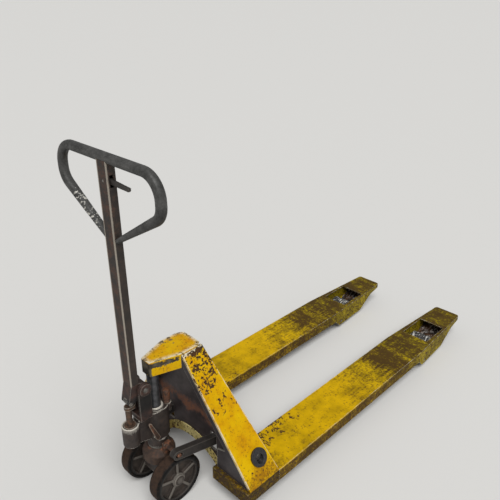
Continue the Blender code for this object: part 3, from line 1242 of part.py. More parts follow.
def make_roller_bracket(side, sign):
    """Roller bracket on its pin across the fork, with the load roller and its axle."""
    x = sign * FORK_X
    pivot = at(x, BRACKET_PIVOT_Y, BRACKET_PIVOT_Z)
    body = joint_body("bracket_" + side, pivot, frame)
    axle_v = LOAD_AXLE_Z - BRACKET_PIVOT_Z
    crown_u = CROSS_PIN_Y - BRACKET_PIVOT_Y
    crown_v = CROSS_PIN_Z - BRACKET_PIVOT_Z
    outline = hull(
        circle(0, 0, BRACKET_PIVOT_RADIUS),
        circle(crown_u, crown_v, BRACKET_CROWN_RADIUS),
        circle(BRACKET_REACH, axle_v, BRACKET_AXLE_RADIUS),
    )
    pin_bore = bore_radius(BRACKET_PIN_RADIUS)
    axle_bore = circle(BRACKET_REACH, axle_v, bore_radius(LOAD_AXLE_RADIUS))
    middle = PLATE_INSIDE + BRACKET_PLATE / 2
    plates = [outline_mesh(BRACKET_PLATE, outline, axle_bore) for _ in SIDES]
    bracket = piece(
        "roller_bracket_" + side, plates[0], dark_steel, body, pivot - Vector((middle, 0, 0)), FLAT_YZ
    )
    tube = rod_mesh(pin_bore + BRACKET_TUBE_WALL, -middle, middle)
    cross_pin = rod_mesh(CROSS_PIN_RADIUS, -middle, middle)
    shape(
        bracket,
        "UNION",
        helper(tube, pivot, ALONG_X),
        helper(cross_pin, at(x, CROSS_PIN_Y, CROSS_PIN_Z), ALONG_X),
        helper(plates[1], pivot + Vector((middle, 0, 0)), FLAT_YZ),
    )
    hole = rod_mesh(pin_bore, -FORK_WIDTH, FORK_WIDTH)
    shape(bracket, "DIFFERENCE", helper(hole, pivot, ALONG_X))

    axle_place = at(x, LOAD_AXLE_Y, LOAD_AXLE_Z)
    reach = PLATE_OUTSIDE + LOAD_AXLE_PROUD
    axle = rod_mesh(LOAD_AXLE_RADIUS, -reach, reach)
    piece("roller_axle_" + side, axle, bright_steel, body, axle_place, ALONG_X, True)
    roller_body = joint_body("roller_" + side, axle_place, body)
    half = LOAD_ROLLER_WIDTH / 2
    bore = bore_radius(LOAD_AXLE_RADIUS)
    section = ring_profile(bore, LOAD_ROLLER_RADIUS, -half, half, LOAD_ROLLER_CHAMFER)
    roller_mesh = profile_mesh(section, True)
    roller = piece("load_roller_" + side, roller_mesh, black_plastic, roller_body, axle_place, ALONG_X, True)
    turn(roller, LARGE_ROUND)


make_head()
make_back_plate()
make_rocker_shaft()
make_yoke()
make_pump()
make_valve_lever()
make_plunger()
make_axle()
make_handle_bracket()
make_handle_foot()
make_handle_shaft()
make_handle_loop()
make_control_lever()
for side_name, side_sign in SIDES:
    make_wheel(side_name, side_sign)
    make_leg(side_name, side_sign)
    make_heel(side_name, side_sign)
    make_fork(side_name, side_sign)
    make_link_arm(side_name, side_sign)
    make_rocker_lever(side_name, side_sign)
    make_push_rod(side_name, side_sign)
    make_roller_bracket(side_name, side_sign)
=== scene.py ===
import math

import bmesh
import bpy
from mathutils import Matrix, Vector


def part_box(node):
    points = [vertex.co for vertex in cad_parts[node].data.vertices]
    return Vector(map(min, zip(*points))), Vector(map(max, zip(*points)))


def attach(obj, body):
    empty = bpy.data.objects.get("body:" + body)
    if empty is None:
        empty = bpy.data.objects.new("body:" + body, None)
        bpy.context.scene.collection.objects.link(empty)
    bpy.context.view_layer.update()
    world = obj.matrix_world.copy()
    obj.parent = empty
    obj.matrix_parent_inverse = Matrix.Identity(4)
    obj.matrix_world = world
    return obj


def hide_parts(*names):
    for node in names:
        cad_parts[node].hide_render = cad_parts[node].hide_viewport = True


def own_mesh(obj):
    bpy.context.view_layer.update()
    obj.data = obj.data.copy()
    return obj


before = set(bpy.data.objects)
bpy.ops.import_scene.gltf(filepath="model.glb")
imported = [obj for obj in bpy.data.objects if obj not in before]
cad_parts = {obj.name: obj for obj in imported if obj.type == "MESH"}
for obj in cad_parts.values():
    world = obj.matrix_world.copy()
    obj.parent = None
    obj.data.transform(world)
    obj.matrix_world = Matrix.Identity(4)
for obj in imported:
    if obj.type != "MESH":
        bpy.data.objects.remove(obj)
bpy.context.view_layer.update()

# Forks and heels. Each is a channel pressed from 5 mm steel plate and painted yellow. The heel sits under
# the leg with the fork welded on behind it. Pallets have scraped the tops, and the skirts have lost most
# of their paint to kerbs and dirt.
SIDES = {"left": -1, "right": 1}
SEAM = 1e-5
PLATE_EDGE = 0.0018
TIP_CORNER = 0.012


def linear(colour):
    """An sRGB hex colour as linear red, green, blue and alpha."""
    parts = [int(colour[i:i + 2], 16) / 255 for i in (1, 3, 5)]
    return [c / 12.92 if c <= 0.04045 else ((c + 0.055) / 1.055) ** 2.4 for c in parts] + [1]


def connect(tree, node, links):
    """Feeds a node's inputs. links gives each, by name or number, its value or the node that feeds it."""
    for key, value in links.items():
        shown = [s for s in node.inputs if s.enabled]
        socket = shown[key] if isinstance(key, int) else next(s for s in shown if s.name == key)
        if isinstance(value, bpy.types.Node):
            value = next(s for s in value.outputs if s.enabled)
        if isinstance(value, bpy.types.NodeSocket):
            tree.links.new(value, socket)
        else:
            socket.default_value = linear(value) if isinstance(value, str) else value


def add(tree, kind, links, **settings):
    """Adds a node with its settings, and feeds it."""
    made = tree.nodes.new("ShaderNode" + kind)
    for name, value in settings.items():
        setattr(made, name, value)
    connect(tree, made, links)
    return made


def new_finish(name):
    """An empty material: its node tree, its shader and the place on the piece, in metres."""
    finish = bpy.data.materials.new(name)
    finish.use_nodes = True
    tree = finish.node_tree
    place = add(tree, "TexCoord", {}).outputs["Object"]
    return finish, tree, tree.nodes["Principled BSDF"], place


def xyz(tree, place):
    """The x, y and z of a place, apart."""
    parts = add(tree, "SeparateXYZ", {"Vector": place})
    return [parts.outputs[axis] for axis in "XYZ"]


def ramp(tree, value, start, end, low=0.0, high=1.0):
    """Runs from low to high while value runs from start to end, and stays level outside them."""
    return add(tree, "MapRange", {
        "Value": value, "From Min": start, "From Max": end, "To Min": low, "To Max": high,
    })


def down_from(level, depths):
    """Places at some depths below a level, or inside an edge."""
    return [level - depth for depth in depths]


def up_from(level, heights):
    """Places at some heights above a level, or behind an edge."""
    return [level + height for height in heights]


def reckon(tree, operation, *values):
    """Adds, multiplies or otherwise works on numbers, each a value or a node."""
    return add(tree, "Math", dict(enumerate(values)), operation=operation)


def blend(tree, share, first, second, kind="RGBA"):
    """first where share is 0, second where it is 1: two colours, or two numbers if kind is FLOAT."""
    return add(tree, "Mix", {"Factor": share, "A": first, "B": second}, data_type=kind)


def noise(tree, place, grain, detail, roughness=0.5):
    """Cloudy noise. grain is the size of its blotches in metres, one size or one for each axis."""
    scale = 1.0
    if isinstance(grain, tuple):
        place = add(tree, "Mapping", {"Vector": place, "Scale": [1 / size for size in grain]})
    else:
        scale = 1 / grain
    return add(tree, "TexNoise", {"Vector": place, "Scale": scale, "Detail": detail, "Roughness": roughness})


def edge_wear(tree, reach):
    """How near the surface is to a sharp edge: 0 on flat faces, rising to 1 on the edge itself.

    reach is how far from the edge it starts, in metres, and is less than the piece's thickness.
    """
    buried = add(tree, "AmbientOcclusion", {"Distance": reach}, inside=True, only_local=True, samples=8)
    return ramp(tree, buried.outputs["AO"], 0.93, 0.58)


def paint_over(tree, shader, place, edge, chipped, grimy, paint, worn_paint, bare, rusty, pale_share):
    """Old enamel over steel: chips down to the metal, brown film and speckle, and pale rubbed edges.

    chipped and grimy run from 0, sound and clean, to 1, bare and black, each a number or a node.
    bare and rusty are the metal's two colours, and pale_share is how white the edges are rubbed.
    The colour is handed back for marks that lie over everything else.
    """
    patches = noise(tree, place, 0.070, 4.0, 0.6)
    coarse = noise(tree, place, 0.026, 4.0, 0.6)
    fine = noise(tree, place, 0.008, 5.0, 0.7)
    colour = blend(tree, ramp(tree, patches, 0.38, 0.66), paint, worn_paint)

    film = ramp(tree, reckon(tree, "ADD", patches, fine), 0.7, 1.3, -0.34, 0.34)
    film = ramp(tree, reckon(tree, "ADD", film, grimy), 0.08, 0.92, high=0.84)
    colour = blend(tree, film, colour, "#2d2212")
    speckle = ramp(tree, reckon(tree, "MULTIPLY_ADD", grimy, 0.22, fine), 0.58, 0.67, high=0.60)
    colour = blend(tree, speckle, colour, "#48301c")

    rub = ramp(tree, reckon(tree, "MULTIPLY_ADD", coarse, 2.0, edge), 1.60, 2.05, high=pale_share)
    colour = blend(tree, rub, colour, "#ddd6bd")

    chip = reckon(tree, "MULTIPLY_ADD", edge, 0.05, reckon(tree, "ADD", fine, coarse))
    chip = ramp(tree, reckon(tree, "MULTIPLY_ADD", chipped, 0.62, chip), 1.31, 1.335)
    steel = blend(tree, ramp(tree, coarse, 0.45, 0.68), bare, rusty)
    colour = blend(tree, chip, colour, steel)

    depth = reckon(tree, "MULTIPLY_ADD", fine, 0.25, ramp(tree, chip, 0.0, 1.0, 1.0, 0.0))
    connect(tree, shader, {
        "Base Color": colour,
        "Roughness": blend(tree, chip, ramp(tree, film, 0.0, 1.0, 0.45, 0.8), 0.7, "FLOAT"),
        "Specular IOR Level": 0.1,
        "Normal": add(tree, "Bump", {"Strength": 0.6, "Distance": 0.0004, "Height": depth}),
    })
    return colour


def node_mesh(node, weld=SEAM):
    """A solid's mesh as a new one, with points nearer than weld joined and its flat faces made whole."""
    cage = bmesh.new()
    cage.from_mesh(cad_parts[node].data)
    bmesh.ops.remove_doubles(cage, verts=cage.verts, dist=weld)
    bmesh.ops.dissolve_limit(cage, angle_limit=math.radians(1), verts=cage.verts, edges=cage.edges)
    for face in cage.faces:
        face.smooth = True
        face.material_index = 0
    mesh = bpy.data.meshes.new(node)
    cage.to_mesh(mesh)
    cage.free()
    for layer in ("custom_normal", "sharp_edge"):
        if layer in mesh.attributes:
            mesh.attributes.remove(mesh.attributes[layer])
    return mesh


def dress(name, mesh, body, slot, finish, *nodes):
    """Puts a finished mesh on a body in place of some solids."""
    piece = bpy.data.objects.new(name, mesh)
    bpy.context.scene.collection.objects.link(piece)
    mesh.materials.append(finish)
    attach(piece, body)
    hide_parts(*nodes)
    return piece


def break_edges(piece, width, segments=2, angle=30):
    """Rounds the edges of a piece, as pressing, rolling or filing leaves them."""
    bevel = piece.modifiers.new("broken edges", "BEVEL")
    bevel.width = width
    bevel.segments = segments
    bevel.limit_method = "ANGLE"
    bevel.angle_limit = math.radians(angle)
    bevel.harden_normals = True
    bevel.miter_outer = "MITER_ARC"


def edged(name, node, body, slot, finish, width, segments=2, angle=30, weld=SEAM):
    """A solid shown as it is, with its edges rounded."""
    break_edges(dress(name, node_mesh(node, weld), body, slot, finish, node), width, segments, angle)


# Yellow enamel on pressed plate: half gloss where it is sound, dull under the brown film that pallets leave.
# The film lies along the skirts and thickens toward the tips in bands, chips gather along the inner edges,
# and the metal inside the roller slots is scratched bare.
PAINT = "#d8ae00"
WORN_PAINT = "#c78e00"
FORK_PAINT = "#d0a600"
FORK_WORN_PAINT = "#a88600"
STAINED_PAINT = "#b29c08"
STAINED_WORN_PAINT = "#8f7e0a"
STEEL = "#2a2420"
RUSTED_STEEL = "#54381f"
# Wear along a fork: where each kind starts and ends, in metres along y, and its share before and after.
FILM_TO_TIP = (0.00, 0.50, 0.0, 0.62)
BAND_START = (0.29, 0.35, 0.0, 1.0)
BAND_END = (0.40, 0.47, 0.42, 0.0)
SLOT_START = (0.47, 0.56, 0.0, 0.40)
SLOT_END = (0.80, 0.88, 1.0, 0.45)
LEG_JOINT = (-0.40, -0.465, 0.0, 0.42)
MOTTLE_TO_TIP = (-0.10, 0.32, 0.22, 1.0)
STAIN_TO_TIP = (0.10, 0.55, 0.0, 1.0)
KERB_DIRT = (0.30, 0.48, 0.80, 0.50)
HEEL_CHIPS = (-0.10, -0.30, 0.0, 0.55)
# Across a fork, in the same way: chips from its inner edge outward, and half the width of its slot.
INNER_CHIPS = (0.142, 0.270, 1.0, 0.0)
SLOT_HALF = (0.0605, 0.0585, 0.0, 1.0)
# Down from its top: where the skirt starts. Every such pair below is a start and an end in metres.
SKIRT_START = (0.0028, 0.0060)
MOST_FILM = 0.84
SKIRT_CHIPS = 0.34

fork_enamel, tree, shader, place = new_finish("fork_enamel")
x, y, z = xyz(tree, place)
fork_low, fork_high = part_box("fork_right")
skirt = ramp(tree, z, *down_from(fork_high.z, SKIRT_START))
streaks = noise(tree, place, (0.012, 0.150, 0.020), 5.0, 0.65)
run = reckon(tree, "MULTIPLY_ADD", streaks, 0.16, y)
film = ramp(tree, run, *FILM_TO_TIP)
band = reckon(tree, "MULTIPLY", ramp(tree, run, *BAND_START), ramp(tree, run, *BAND_END))
by_slot = reckon(tree, "MULTIPLY", ramp(tree, run, *SLOT_START), ramp(tree, run, *SLOT_END))
scrapes = ramp(tree, streaks, 0.35, 0.65, -0.14, 0.18)
by_leg = ramp(tree, y, *LEG_JOINT)
for dirt in (band, by_slot, scrapes, by_leg):
    film = reckon(tree, "ADD", film, dirt)
film = reckon(tree, "MINIMUM", film, MOST_FILM)
smears = noise(tree, place, (0.140, 0.032, 0.140), 3.0, 0.55)
mottle = reckon(tree, "ADD", smears, noise(tree, place, (0.016, 0.010, 0.012), 4.0, 0.65))
mottle = ramp(tree, mottle, 0.72, 1.28, -0.40, 0.40)
film = reckon(tree, "MULTIPLY_ADD", mottle, ramp(tree, y, *MOTTLE_TO_TIP), film)
film = blend(tree, skirt, film, ramp(tree, y, *KERB_DIRT), "FLOAT")
from_middle = reckon(tree, "ABSOLUTE", x)
chipped = reckon(tree, "MULTIPLY", ramp(tree, from_middle, *INNER_CHIPS), ramp(tree, y, *HEEL_CHIPS))
chipped = blend(tree, skirt, chipped, SKIRT_CHIPS, "FLOAT")
well = reckon(tree, "SUBTRACT", from_middle, (fork_low.x + fork_high.x) / 2)
well = ramp(tree, reckon(tree, "ABSOLUTE", well), *SLOT_HALF)
well = reckon(tree, "MULTIPLY", well, skirt)
stained = ramp(tree, run, *STAIN_TO_TIP)
colour = paint_over(
    tree, shader, place, edge_wear(tree, reach=0.0036),
    chipped=blend(tree, well, chipped, 1.0, "FLOAT"), grimy=blend(tree, well, film, 1.1, "FLOAT"),
    paint=blend(tree, stained, FORK_PAINT, STAINED_PAINT),
    worn_paint=blend(tree, stained, FORK_WORN_PAINT, STAINED_WORN_PAINT),
    bare=STEEL, rusty=RUSTED_STEEL, pale_share=0.7,
)
grazes = ramp(tree, noise(tree, place, (0.010, 0.018, 0.018), 4.0, 0.6), 0.52, 0.74)
grazes = reckon(tree, "MULTIPLY", grazes, well)
connect(tree, shader, {"Base Color": blend(tree, grazes, colour, "#b4aca6")})

# The same enamel on the heels, where wheels and dirt have taken most of it: brown, with yellow remains.
heel_enamel, tree, shader, place = new_finish("heel_enamel")
paint_over(
    tree, shader, place, edge_wear(tree, reach=0.0045), chipped=0.46, grimy=0.84,
    paint=FORK_WORN_PAINT, worn_paint=STAINED_WORN_PAINT, bare="#2e2822", rusty="#4a3825", pale_share=0.5,
)

for side in SIDES:
    fork_mesh = node_mesh("fork_" + side)
    cage = bmesh.new()
    cage.from_mesh(fork_mesh)
    upright = [e for e in cage.edges if abs(e.verts[0].co.z - e.verts[1].co.z) > TIP_CORNER]
    corners = [e for e in upright if min(v.co.y for v in e.verts) > fork_high.y - 0.001]
    bmesh.ops.bevel(cage, geom=corners, offset=TIP_CORNER, segments=4, profile=0.5, affect="EDGES")
    for face in cage.faces:
        face.smooth = True
    cage.to_mesh(fork_mesh)
    cage.free()
    fork = dress("pressed_fork_" + side, fork_mesh, "frame", "yellow_paint", fork_enamel, "fork_" + side)
    break_edges(fork, PLATE_EDGE)
    edged(
        "pressed_heel_" + side, "fork_heel_" + side, "frame", "yellow_paint", heel_enamel, PLATE_EDGE
    )

# Legs, head and arch rim. Two slanting legs of 10 mm plate run from the heels up to the head, a folded cap
# with a pointed nose that bears on the ram. A flat rim is welded along the bulkhead's arch. All of it has
# the same yellow enamel, chipped to dark steel where chains and loads have struck the legs.
HEAD_SEAM = 0.0015
HEAD_EDGE = 0.0014
RIM_EDGE = 0.0010
LEG_EDGE = 0.0016
# Up from a leg's foot, down from its top, and its height above the floor with the share of dirt.
FOOT_CLEAR = (0.003, 0.012)
TOP_RUB = (0.018, 0.004)
LEG_DIRT = (0.19, 0.10, 0.0, 0.40)
# Blows on a leg: the place, with both legs worn alike and y counted forward, the radius and the share.
LEG_BLOWS = (
    ((0.07, 0.575, 0.475), 0.095, 0.50),
    ((0.11, 0.595, 0.425), 0.070, 0.48),
    ((0.16, 0.575, 0.345), 0.075, 0.36),
    ((0.23, 0.588, 0.230), 0.045, 0.24),
    ((0.28, 0.545, 0.150), 0.060, 0.26),
)
# On the head: back from the nose's tip, then down from the top.
NOSE_BARE = (0.008, 0.003)
STRIP_BACK = (0.105, 0.085)
STRIP_DOWN = (0.030, 0.018)
TOP_EDGE = (0.003, 0.006)
TOP_FACE = (0.0020, 0.0004)
FOLD_WIDTH = 0.022


def struck(tree, place, centre, core, radius, share):
    """Damage from a blow: the whole share within core metres of its centre, none beyond its radius."""
    away = add(tree, "VectorMath", {0: place, 1: centre}, operation="DISTANCE")
    return ramp(tree, away.outputs["Value"], core, radius, share, 0.0)


# Enamel on the legs: bright and half gloss, with black chips near the head and white lines rubbed along the
# edges, widest at the top. Dirt from the floor dulls the foot.
leg_enamel, tree, shader, place = new_finish("leg_enamel")
z = xyz(tree, place)[2]
leg_foot, leg_top = (corner.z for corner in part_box("leg_right"))
either_leg = add(tree, "VectorMath", {0: place}, operation="ABSOLUTE")
chipped = 0.05
for centre, radius, share in LEG_BLOWS:
    blow = struck(tree, either_leg, centre, radius * 0.45, radius, share)
    chipped = reckon(tree, "MAXIMUM", blow, chipped)
off_foot = ramp(tree, z, *up_from(leg_foot, FOOT_CLEAR))
edge = reckon(tree, "MULTIPLY", edge_wear(tree, reach=0.0075), off_foot)
top_end = ramp(tree, z, *down_from(leg_top, TOP_RUB), high=1.1)
paint_over(
    tree, shader, place, reckon(tree, "MAXIMUM", edge, top_end),
    chipped=chipped, grimy=ramp(tree, z, *LEG_DIRT),
    paint=PAINT, worn_paint=WORN_PAINT, bare=STEEL, rusty=RUSTED_STEEL, pale_share=0.9,
)

# Enamel on the head: struck down to grey steel on the nose and in a strip under the top's edge, with a white
# band rubbed along the fold of the top and one dent at its left side.
head_enamel, tree, shader, place = new_finish("head_enamel")
_, y, z = xyz(tree, place)
nose_low, nose_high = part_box("head_cap")
below_top = ramp(tree, z, *down_from(nose_high.z, TOP_EDGE))
nose = reckon(tree, "MULTIPLY", ramp(tree, y, *up_from(nose_low.y, NOSE_BARE)), below_top)
strip = ramp(tree, z, *down_from(nose_high.z, STRIP_DOWN), high=0.80)
strip = reckon(tree, "MULTIPLY", below_top, strip)
strip = reckon(tree, "MULTIPLY", strip, ramp(tree, y, *up_from(nose_low.y, STRIP_BACK)))
rounded = add(tree, "Bevel", {"Radius": FOLD_WIDTH}, samples=8)
normal = add(tree, "NewGeometry", {}).outputs["Normal"]
fold = add(tree, "VectorMath", {0: rounded, 1: normal}, operation="DOT_PRODUCT")
fold = ramp(tree, fold.outputs["Value"], 0.998, 0.93)
dent = struck(tree, place, (-0.045, -0.625, nose_high.z), 0.012, 0.045, 0.46)
chipped = reckon(tree, "ADD", nose, strip)
for damage in (0.10, reckon(tree, "MULTIPLY", fold, 0.34), dent):
    chipped = reckon(tree, "MAXIMUM", chipped, damage)
on_top = ramp(tree, z, *down_from(nose_high.z, TOP_FACE))
edge = blend(tree, on_top, edge_wear(tree, reach=0.0035), reckon(tree, "MULTIPLY", fold, 1.35), "FLOAT")
paint_over(
    tree, shader, place, edge, chipped=chipped, grimy=0.06,
    paint=PAINT, worn_paint="#cc8c06", bare="#3d3831", rusty="#6d6655", pale_share=0.95,
)

# Enamel on the arch's band: paler, rubbed by everything that is pulled through under it.
rim_enamel, tree, shader, place = new_finish("rim_enamel")
paint_over(
    tree, shader, place, edge_wear(tree, reach=0.003), chipped=0.42, grimy=0.16,
    paint="#d6c686", worn_paint="#bba45a", bare=STEEL, rusty=RUSTED_STEEL, pale_share=0.6,
)

edged(
    "folded_head", "head_cap", "frame", "yellow_paint", head_enamel, HEAD_EDGE, angle=12, weld=HEAD_SEAM
)
edged("arch_band", "arch_rim", "frame", "yellow_paint", rim_enamel, RIM_EDGE, angle=60)
for side in SIDES:
    edged("plate_leg_" + side, "leg_" + side, "frame", "yellow_paint", leg_enamel, LEG_EDGE)

# Flanges and bulkhead. A flange stiffens each leg's front edge, and the bulkhead between the legs has a
# window for each link arm. They are welded in and shown as dark rolled steel: on the flanges the dark grey is
# painted shade for their front faces, and one broad streak of rust runs across the bulkhead.
FLANGE_EDGE = 0.0012
STREAK_HEIGHT = 0.281
STREAK_WANDER = 0.05
STREAK_HALF = (0.044, 0.006)


def bare_metal(
    tree, shader, place, wear, dark, light, rust, rusted, bright, bright_share, roughness, metallic, grain
):
    """Unpainted iron or steel: blotches of dark and light, rust, and edges rubbed bright.

    wear says where the edges are, and bright_share how far they are rubbed. rusted, a number or a node,
    says how much rust there is. grain is the size in metres of the blotches, such as a casting's sand.
    """
    blotch = noise(tree, place, grain, 5.0, 0.62)
    pits = noise(tree, place, grain / 5, 4.0, 0.7)
    colour = blend(tree, ramp(tree, blotch, 0.36, 0.66), dark, light)
    bloom = reckon(tree, "ADD", reckon(tree, "ADD", blotch, pits), rusted)
    bloom = ramp(tree, bloom, 1.18, 1.55, high=0.9)
    colour = blend(tree, bloom, colour, rust)
    rub = ramp(tree, reckon(tree, "MULTIPLY_ADD", pits, 0.6, wear), 0.50, 0.95, high=bright_share)
    relief = reckon(tree, "MULTIPLY_ADD", pits, 0.5, bloom)
    connect(tree, shader, {
        "Base Color": blend(tree, rub, colour, bright),
        "Roughness": ramp(tree, bloom, 0.0, 1.0, roughness, 0.88),
        "Metallic": ramp(tree, bloom, 0.0, 0.6, metallic, 0.0),
        "Normal": add(tree, "Bump", {"Strength": 0.5, "Distance": 0.0005, "Height": relief}),
    })


def plain_metal(name, reach, **look):
    """Bare metal that is rubbed along its edges, reach metres wide, and alike everywhere else."""
    finish, tree, shader, place = new_finish(name)
    bare_metal(tree, shader, place, edge_wear(tree, reach), **look)
    return finish


# Steel of the flanges: dull slate grey, which is painted shade for their front faces, with thin bright edges.
flange_shade_steel = plain_metal(
    "flange_steel_painted_shade", 0.0045, dark="#332d2f", light="#464042", rust="#5b4030", rusted=0.0,
    bright="#a8a398", bright_share=0.8, roughness=0.55, metallic=0.3, grain=0.035,
)

# Mill steel of the bulkhead: darker and duller, with a ragged streak of rust just above the arch.
bulkhead_steel, tree, shader, place = new_finish("bulkhead_mill_steel")
z = xyz(tree, place)[2]
streak = reckon(tree, "MULTIPLY_ADD", noise(tree, place, 0.045, 3.0), STREAK_WANDER, z)
streak = reckon(tree, "ABSOLUTE", reckon(tree, "SUBTRACT", streak, STREAK_HEIGHT))
streak = ramp(tree, streak, *STREAK_HALF, high=0.44)
bare_metal(
    tree, shader, place, edge_wear(tree, reach=0.0045), dark="#362d2d", light="#4d4444", rust="#7d5038",
    rusted=streak, bright="#a8a398", bright_share=0.6, roughness=0.6, metallic=0.2, grain=0.045,
)

edged("bulkhead_plate", "back_plate", "frame", "dark_steel", bulkhead_steel, FLANGE_EDGE, angle=60)
for side in SIDES:
    edged("flange_plate_" + side, "leg_flange_" + side, "frame", "dark_steel", flange_shade_steel, FLANGE_EDGE)

# Pivot bushes and rocker. The rocker shaft turns in a black nylon bush in each leg, whose ring stands proud
# of the paint. Two forged link arms run forward from the shaft to the steering ring, and a lever from each
# end of it goes down into the heel to push the rod that lifts the load rollers.
ROCKER_CHAMFER = 0.0025
BUSH_EDGE = 0.0016
ARM_EDGE = 0.0055
LEVER_EDGE = 0.0010


def turned(name, centre, axis, profile, body, slot, finish, *nodes, steps=64):
    """A piece turned round an axis through centre, from (radius, distance along the axis) points."""
    cage = bmesh.new()
    turn = Vector((0, 0, 1)).rotation_difference(Vector(axis)).to_matrix()
    points = [cage.verts.new(turn @ Vector((radius, 0, along)) + centre) for radius, along in profile]
    edges = [cage.edges.new(pair) for pair in zip(points, points[1:])]
    bmesh.ops.spin(
        cage, geom=points + edges, cent=centre, axis=turn @ Vector((0, 0, 1)), angle=2 * math.pi, steps=steps
    )
    bmesh.ops.remove_doubles(cage, verts=cage.verts, dist=SEAM)
    bmesh.ops.recalc_face_normals(cage, faces=cage.faces)
    mesh = bpy.data.meshes.new(name)
    cage.to_mesh(mesh)
    cage.free()
    mesh.shade_smooth()
    mesh.set_sharp_from_angle(angle=math.radians(32))
    return dress(name, mesh, body, slot, finish, *nodes)


def span(node):
    """A solid's middle and half its size."""
    low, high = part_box(node)
    return (low + high) / 2, (high - low) / 2


def pin(name, node, axis, chamfer, body, slot, finish, steps=32):
    """A round pin in place of a solid that lies along one axis, 0, 1 or 2, with its ends chamfered."""
    centre, half = span(node)
    radius = half[0 if axis == 2 else 2]
    end = [(0, half[axis]), (radius - chamfer, half[axis]), (radius, half[axis] - chamfer)]
    profile = [(r, -along) for r, along in end] + end[::-1]
    turned(name, centre, Matrix.Identity(3)[axis], profile, body, slot, finish, node, steps=steps)


# Drawn steel bar, oiled and handled: bright, with brown stain in the dull patches.
drawn_steel = plain_metal(
    "drawn_steel", 0.0020, dark="#5f5c58", light="#7b7873", rust="#5a4636", rusted=-0.08,
    bright="#b4b0a8", bright_share=0.5, roughness=0.38, metallic=0.8, grain=0.012,
)

# Forged bar with its scale still on: near black, dull, rubbed grey along the edges.
forged_steel = plain_metal(
    "forged_steel", 0.0040, dark="#2b2725", light="#3d3834", rust="#54392a", rusted=0.02,
    bright="#6b665f", bright_share=0.5, roughness=0.6, metallic=0.3, grain=0.022,
)

# Black nylon: dull moulded plastic that has greyed with dust.
nylon, tree, shader, place = new_finish("black_nylon")
dust = ramp(tree, noise(tree, place, 0.006, 4.0), 0.4, 0.75)
connect(tree, shader, {
    "Base Color": blend(tree, dust, "#1d1c1d", "#353334"),
    "Roughness": 0.5,
    "Normal": add(tree, "Bump", {"Strength": 0.3, "Distance": 0.0002, "Height": dust}),
})

pin("rocker_bar", "rocker_shaft", 0, ROCKER_CHAMFER, "rocker", "grey_steel", drawn_steel, steps=64)
for side in SIDES:
    edged("nylon_bush_" + side, "pivot_bush_" + side, "frame", "black_plastic", nylon, BUSH_EDGE, 3)
    edged("forged_arm_" + side, "link_arm_" + side, "rocker", "dark_steel", forged_steel, ARM_EDGE, 4)
    edged("rocker_plate_" + side, "rocker_lever_" + side, "rocker", "dark_steel", forged_steel, LEVER_EDGE)
    edged("lift_rod_" + side, "push_rod_" + side, "push_" + side, "dark_steel", forged_steel, LEVER_EDGE)

# Roller brackets and load rollers. A bracket in each fork's tip turns on a pin across the skirts and carries
# a steel load roller, which the forks' slots show. The rollers run on concrete, so their faces are
# scratched bright.
RUNNING_FIT = 0.0006
PIN_CHAMFER = 0.0008
ROLLER_CORNER = 0.003
RECESS = 0.002


def both_sides(half_profile):
    """A closed profile from the half of it on one side of the middle."""
    return half_profile + [(r, -along) for r, along in reversed(half_profile)] + half_profile[:1]


# Roller steel: dark and half bright, with white scratches running round the roller.
roller_steel, tree, shader, place = new_finish("scratched_roller_steel")
scratches = ramp(tree, noise(tree, place, (0.005, 0.030, 0.030), 4.0, 0.6), 0.53, 0.62)
bare_metal(
    tree, shader, place, scratches, dark="#2b2928", light="#504e4c", rust="#3f342b", rusted=-0.06,
    bright="#e2e0da", bright_share=1.0, roughness=0.40, metallic=0.25, grain=0.010,
)
for side in SIDES:
    body = "bracket_" + side
    edged("roller_fork_" + side, "roller_bracket_" + side, body, "dark_steel", forged_steel, LEVER_EDGE)
    axle = "roller_axle_" + side
    pin("hinge_pin_" + side, "bracket_pin_" + side, 0, PIN_CHAMFER, "frame", "bright_steel", drawn_steel)
    pin("roller_spindle_" + side, axle, 0, PIN_CHAMFER, body, "bright_steel", drawn_steel)
    centre, half = span("load_roller_" + side)
    radius, end = half.z, half.x
    bore = span(axle)[1].z + RUNNING_FIT
    recess_inner, recess_outer = radius * 0.55, radius * 0.80
    turned(
        "load_wheel_" + side, centre, (1, 0, 0),
        both_sides([
            (bore, end), (recess_inner, end), (recess_inner, end - RECESS), (recess_outer, end - RECESS),
            (recess_outer, end), (radius - ROLLER_CORNER, end), (radius, end - ROLLER_CORNER),
        ]),
        "roller_" + side, "black_plastic", roller_steel, "load_roller_" + side,
    )

# Steering ring. An iron ring casting round the pump's neck, with a lug and a trunnion pin on each side that
# the link arms pull on, and a steel thrust race between it and the pump. Water lies on its cone, so it is
# the rustiest piece of all.
WET_TOP = (0.060, 0.025)
RACE_WALL = 0.0045
RACE_GROOVE = 0.0012
RACE_GAP = 0.0004


def cast(name, node, grain, body, slot, finish, rounds=4):
    """A sand casting: a solid with every edge and inner corner softened, as a mould leaves them.

    grain is how fine the surface is drawn, in metres.
    """
    piece = dress(name, node_mesh(node), body, slot, finish, node)
    skin = piece.modifiers.new("cast skin", "REMESH")
    skin.mode = "VOXEL"
    skin.voxel_size = grain
    skin.use_smooth_shade = True
    soft = piece.modifiers.new("soft corners", "SMOOTH")
    soft.factor = 0.5
    soft.iterations = rounds


# Rusted grey iron: rough sand-cast skin, brown where oil has soaked in, orange at the top where water stands.
rusty_iron, tree, shader, place = new_finish("rusty_iron")
z = xyz(tree, place)[2]
ring_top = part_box("link_yoke")[1].z
wet = ramp(tree, z, *down_from(ring_top, WET_TOP), -0.05, 0.22)
bare_metal(
    tree, shader, place, edge_wear(tree, reach=0.0030),
    dark="#33261f", light="#4e3a2d", rust="#8a4b24", rusted=wet,
    bright="#a89c8c", bright_share=0.6, roughness=0.72, metallic=0.15, grain=0.018,
)

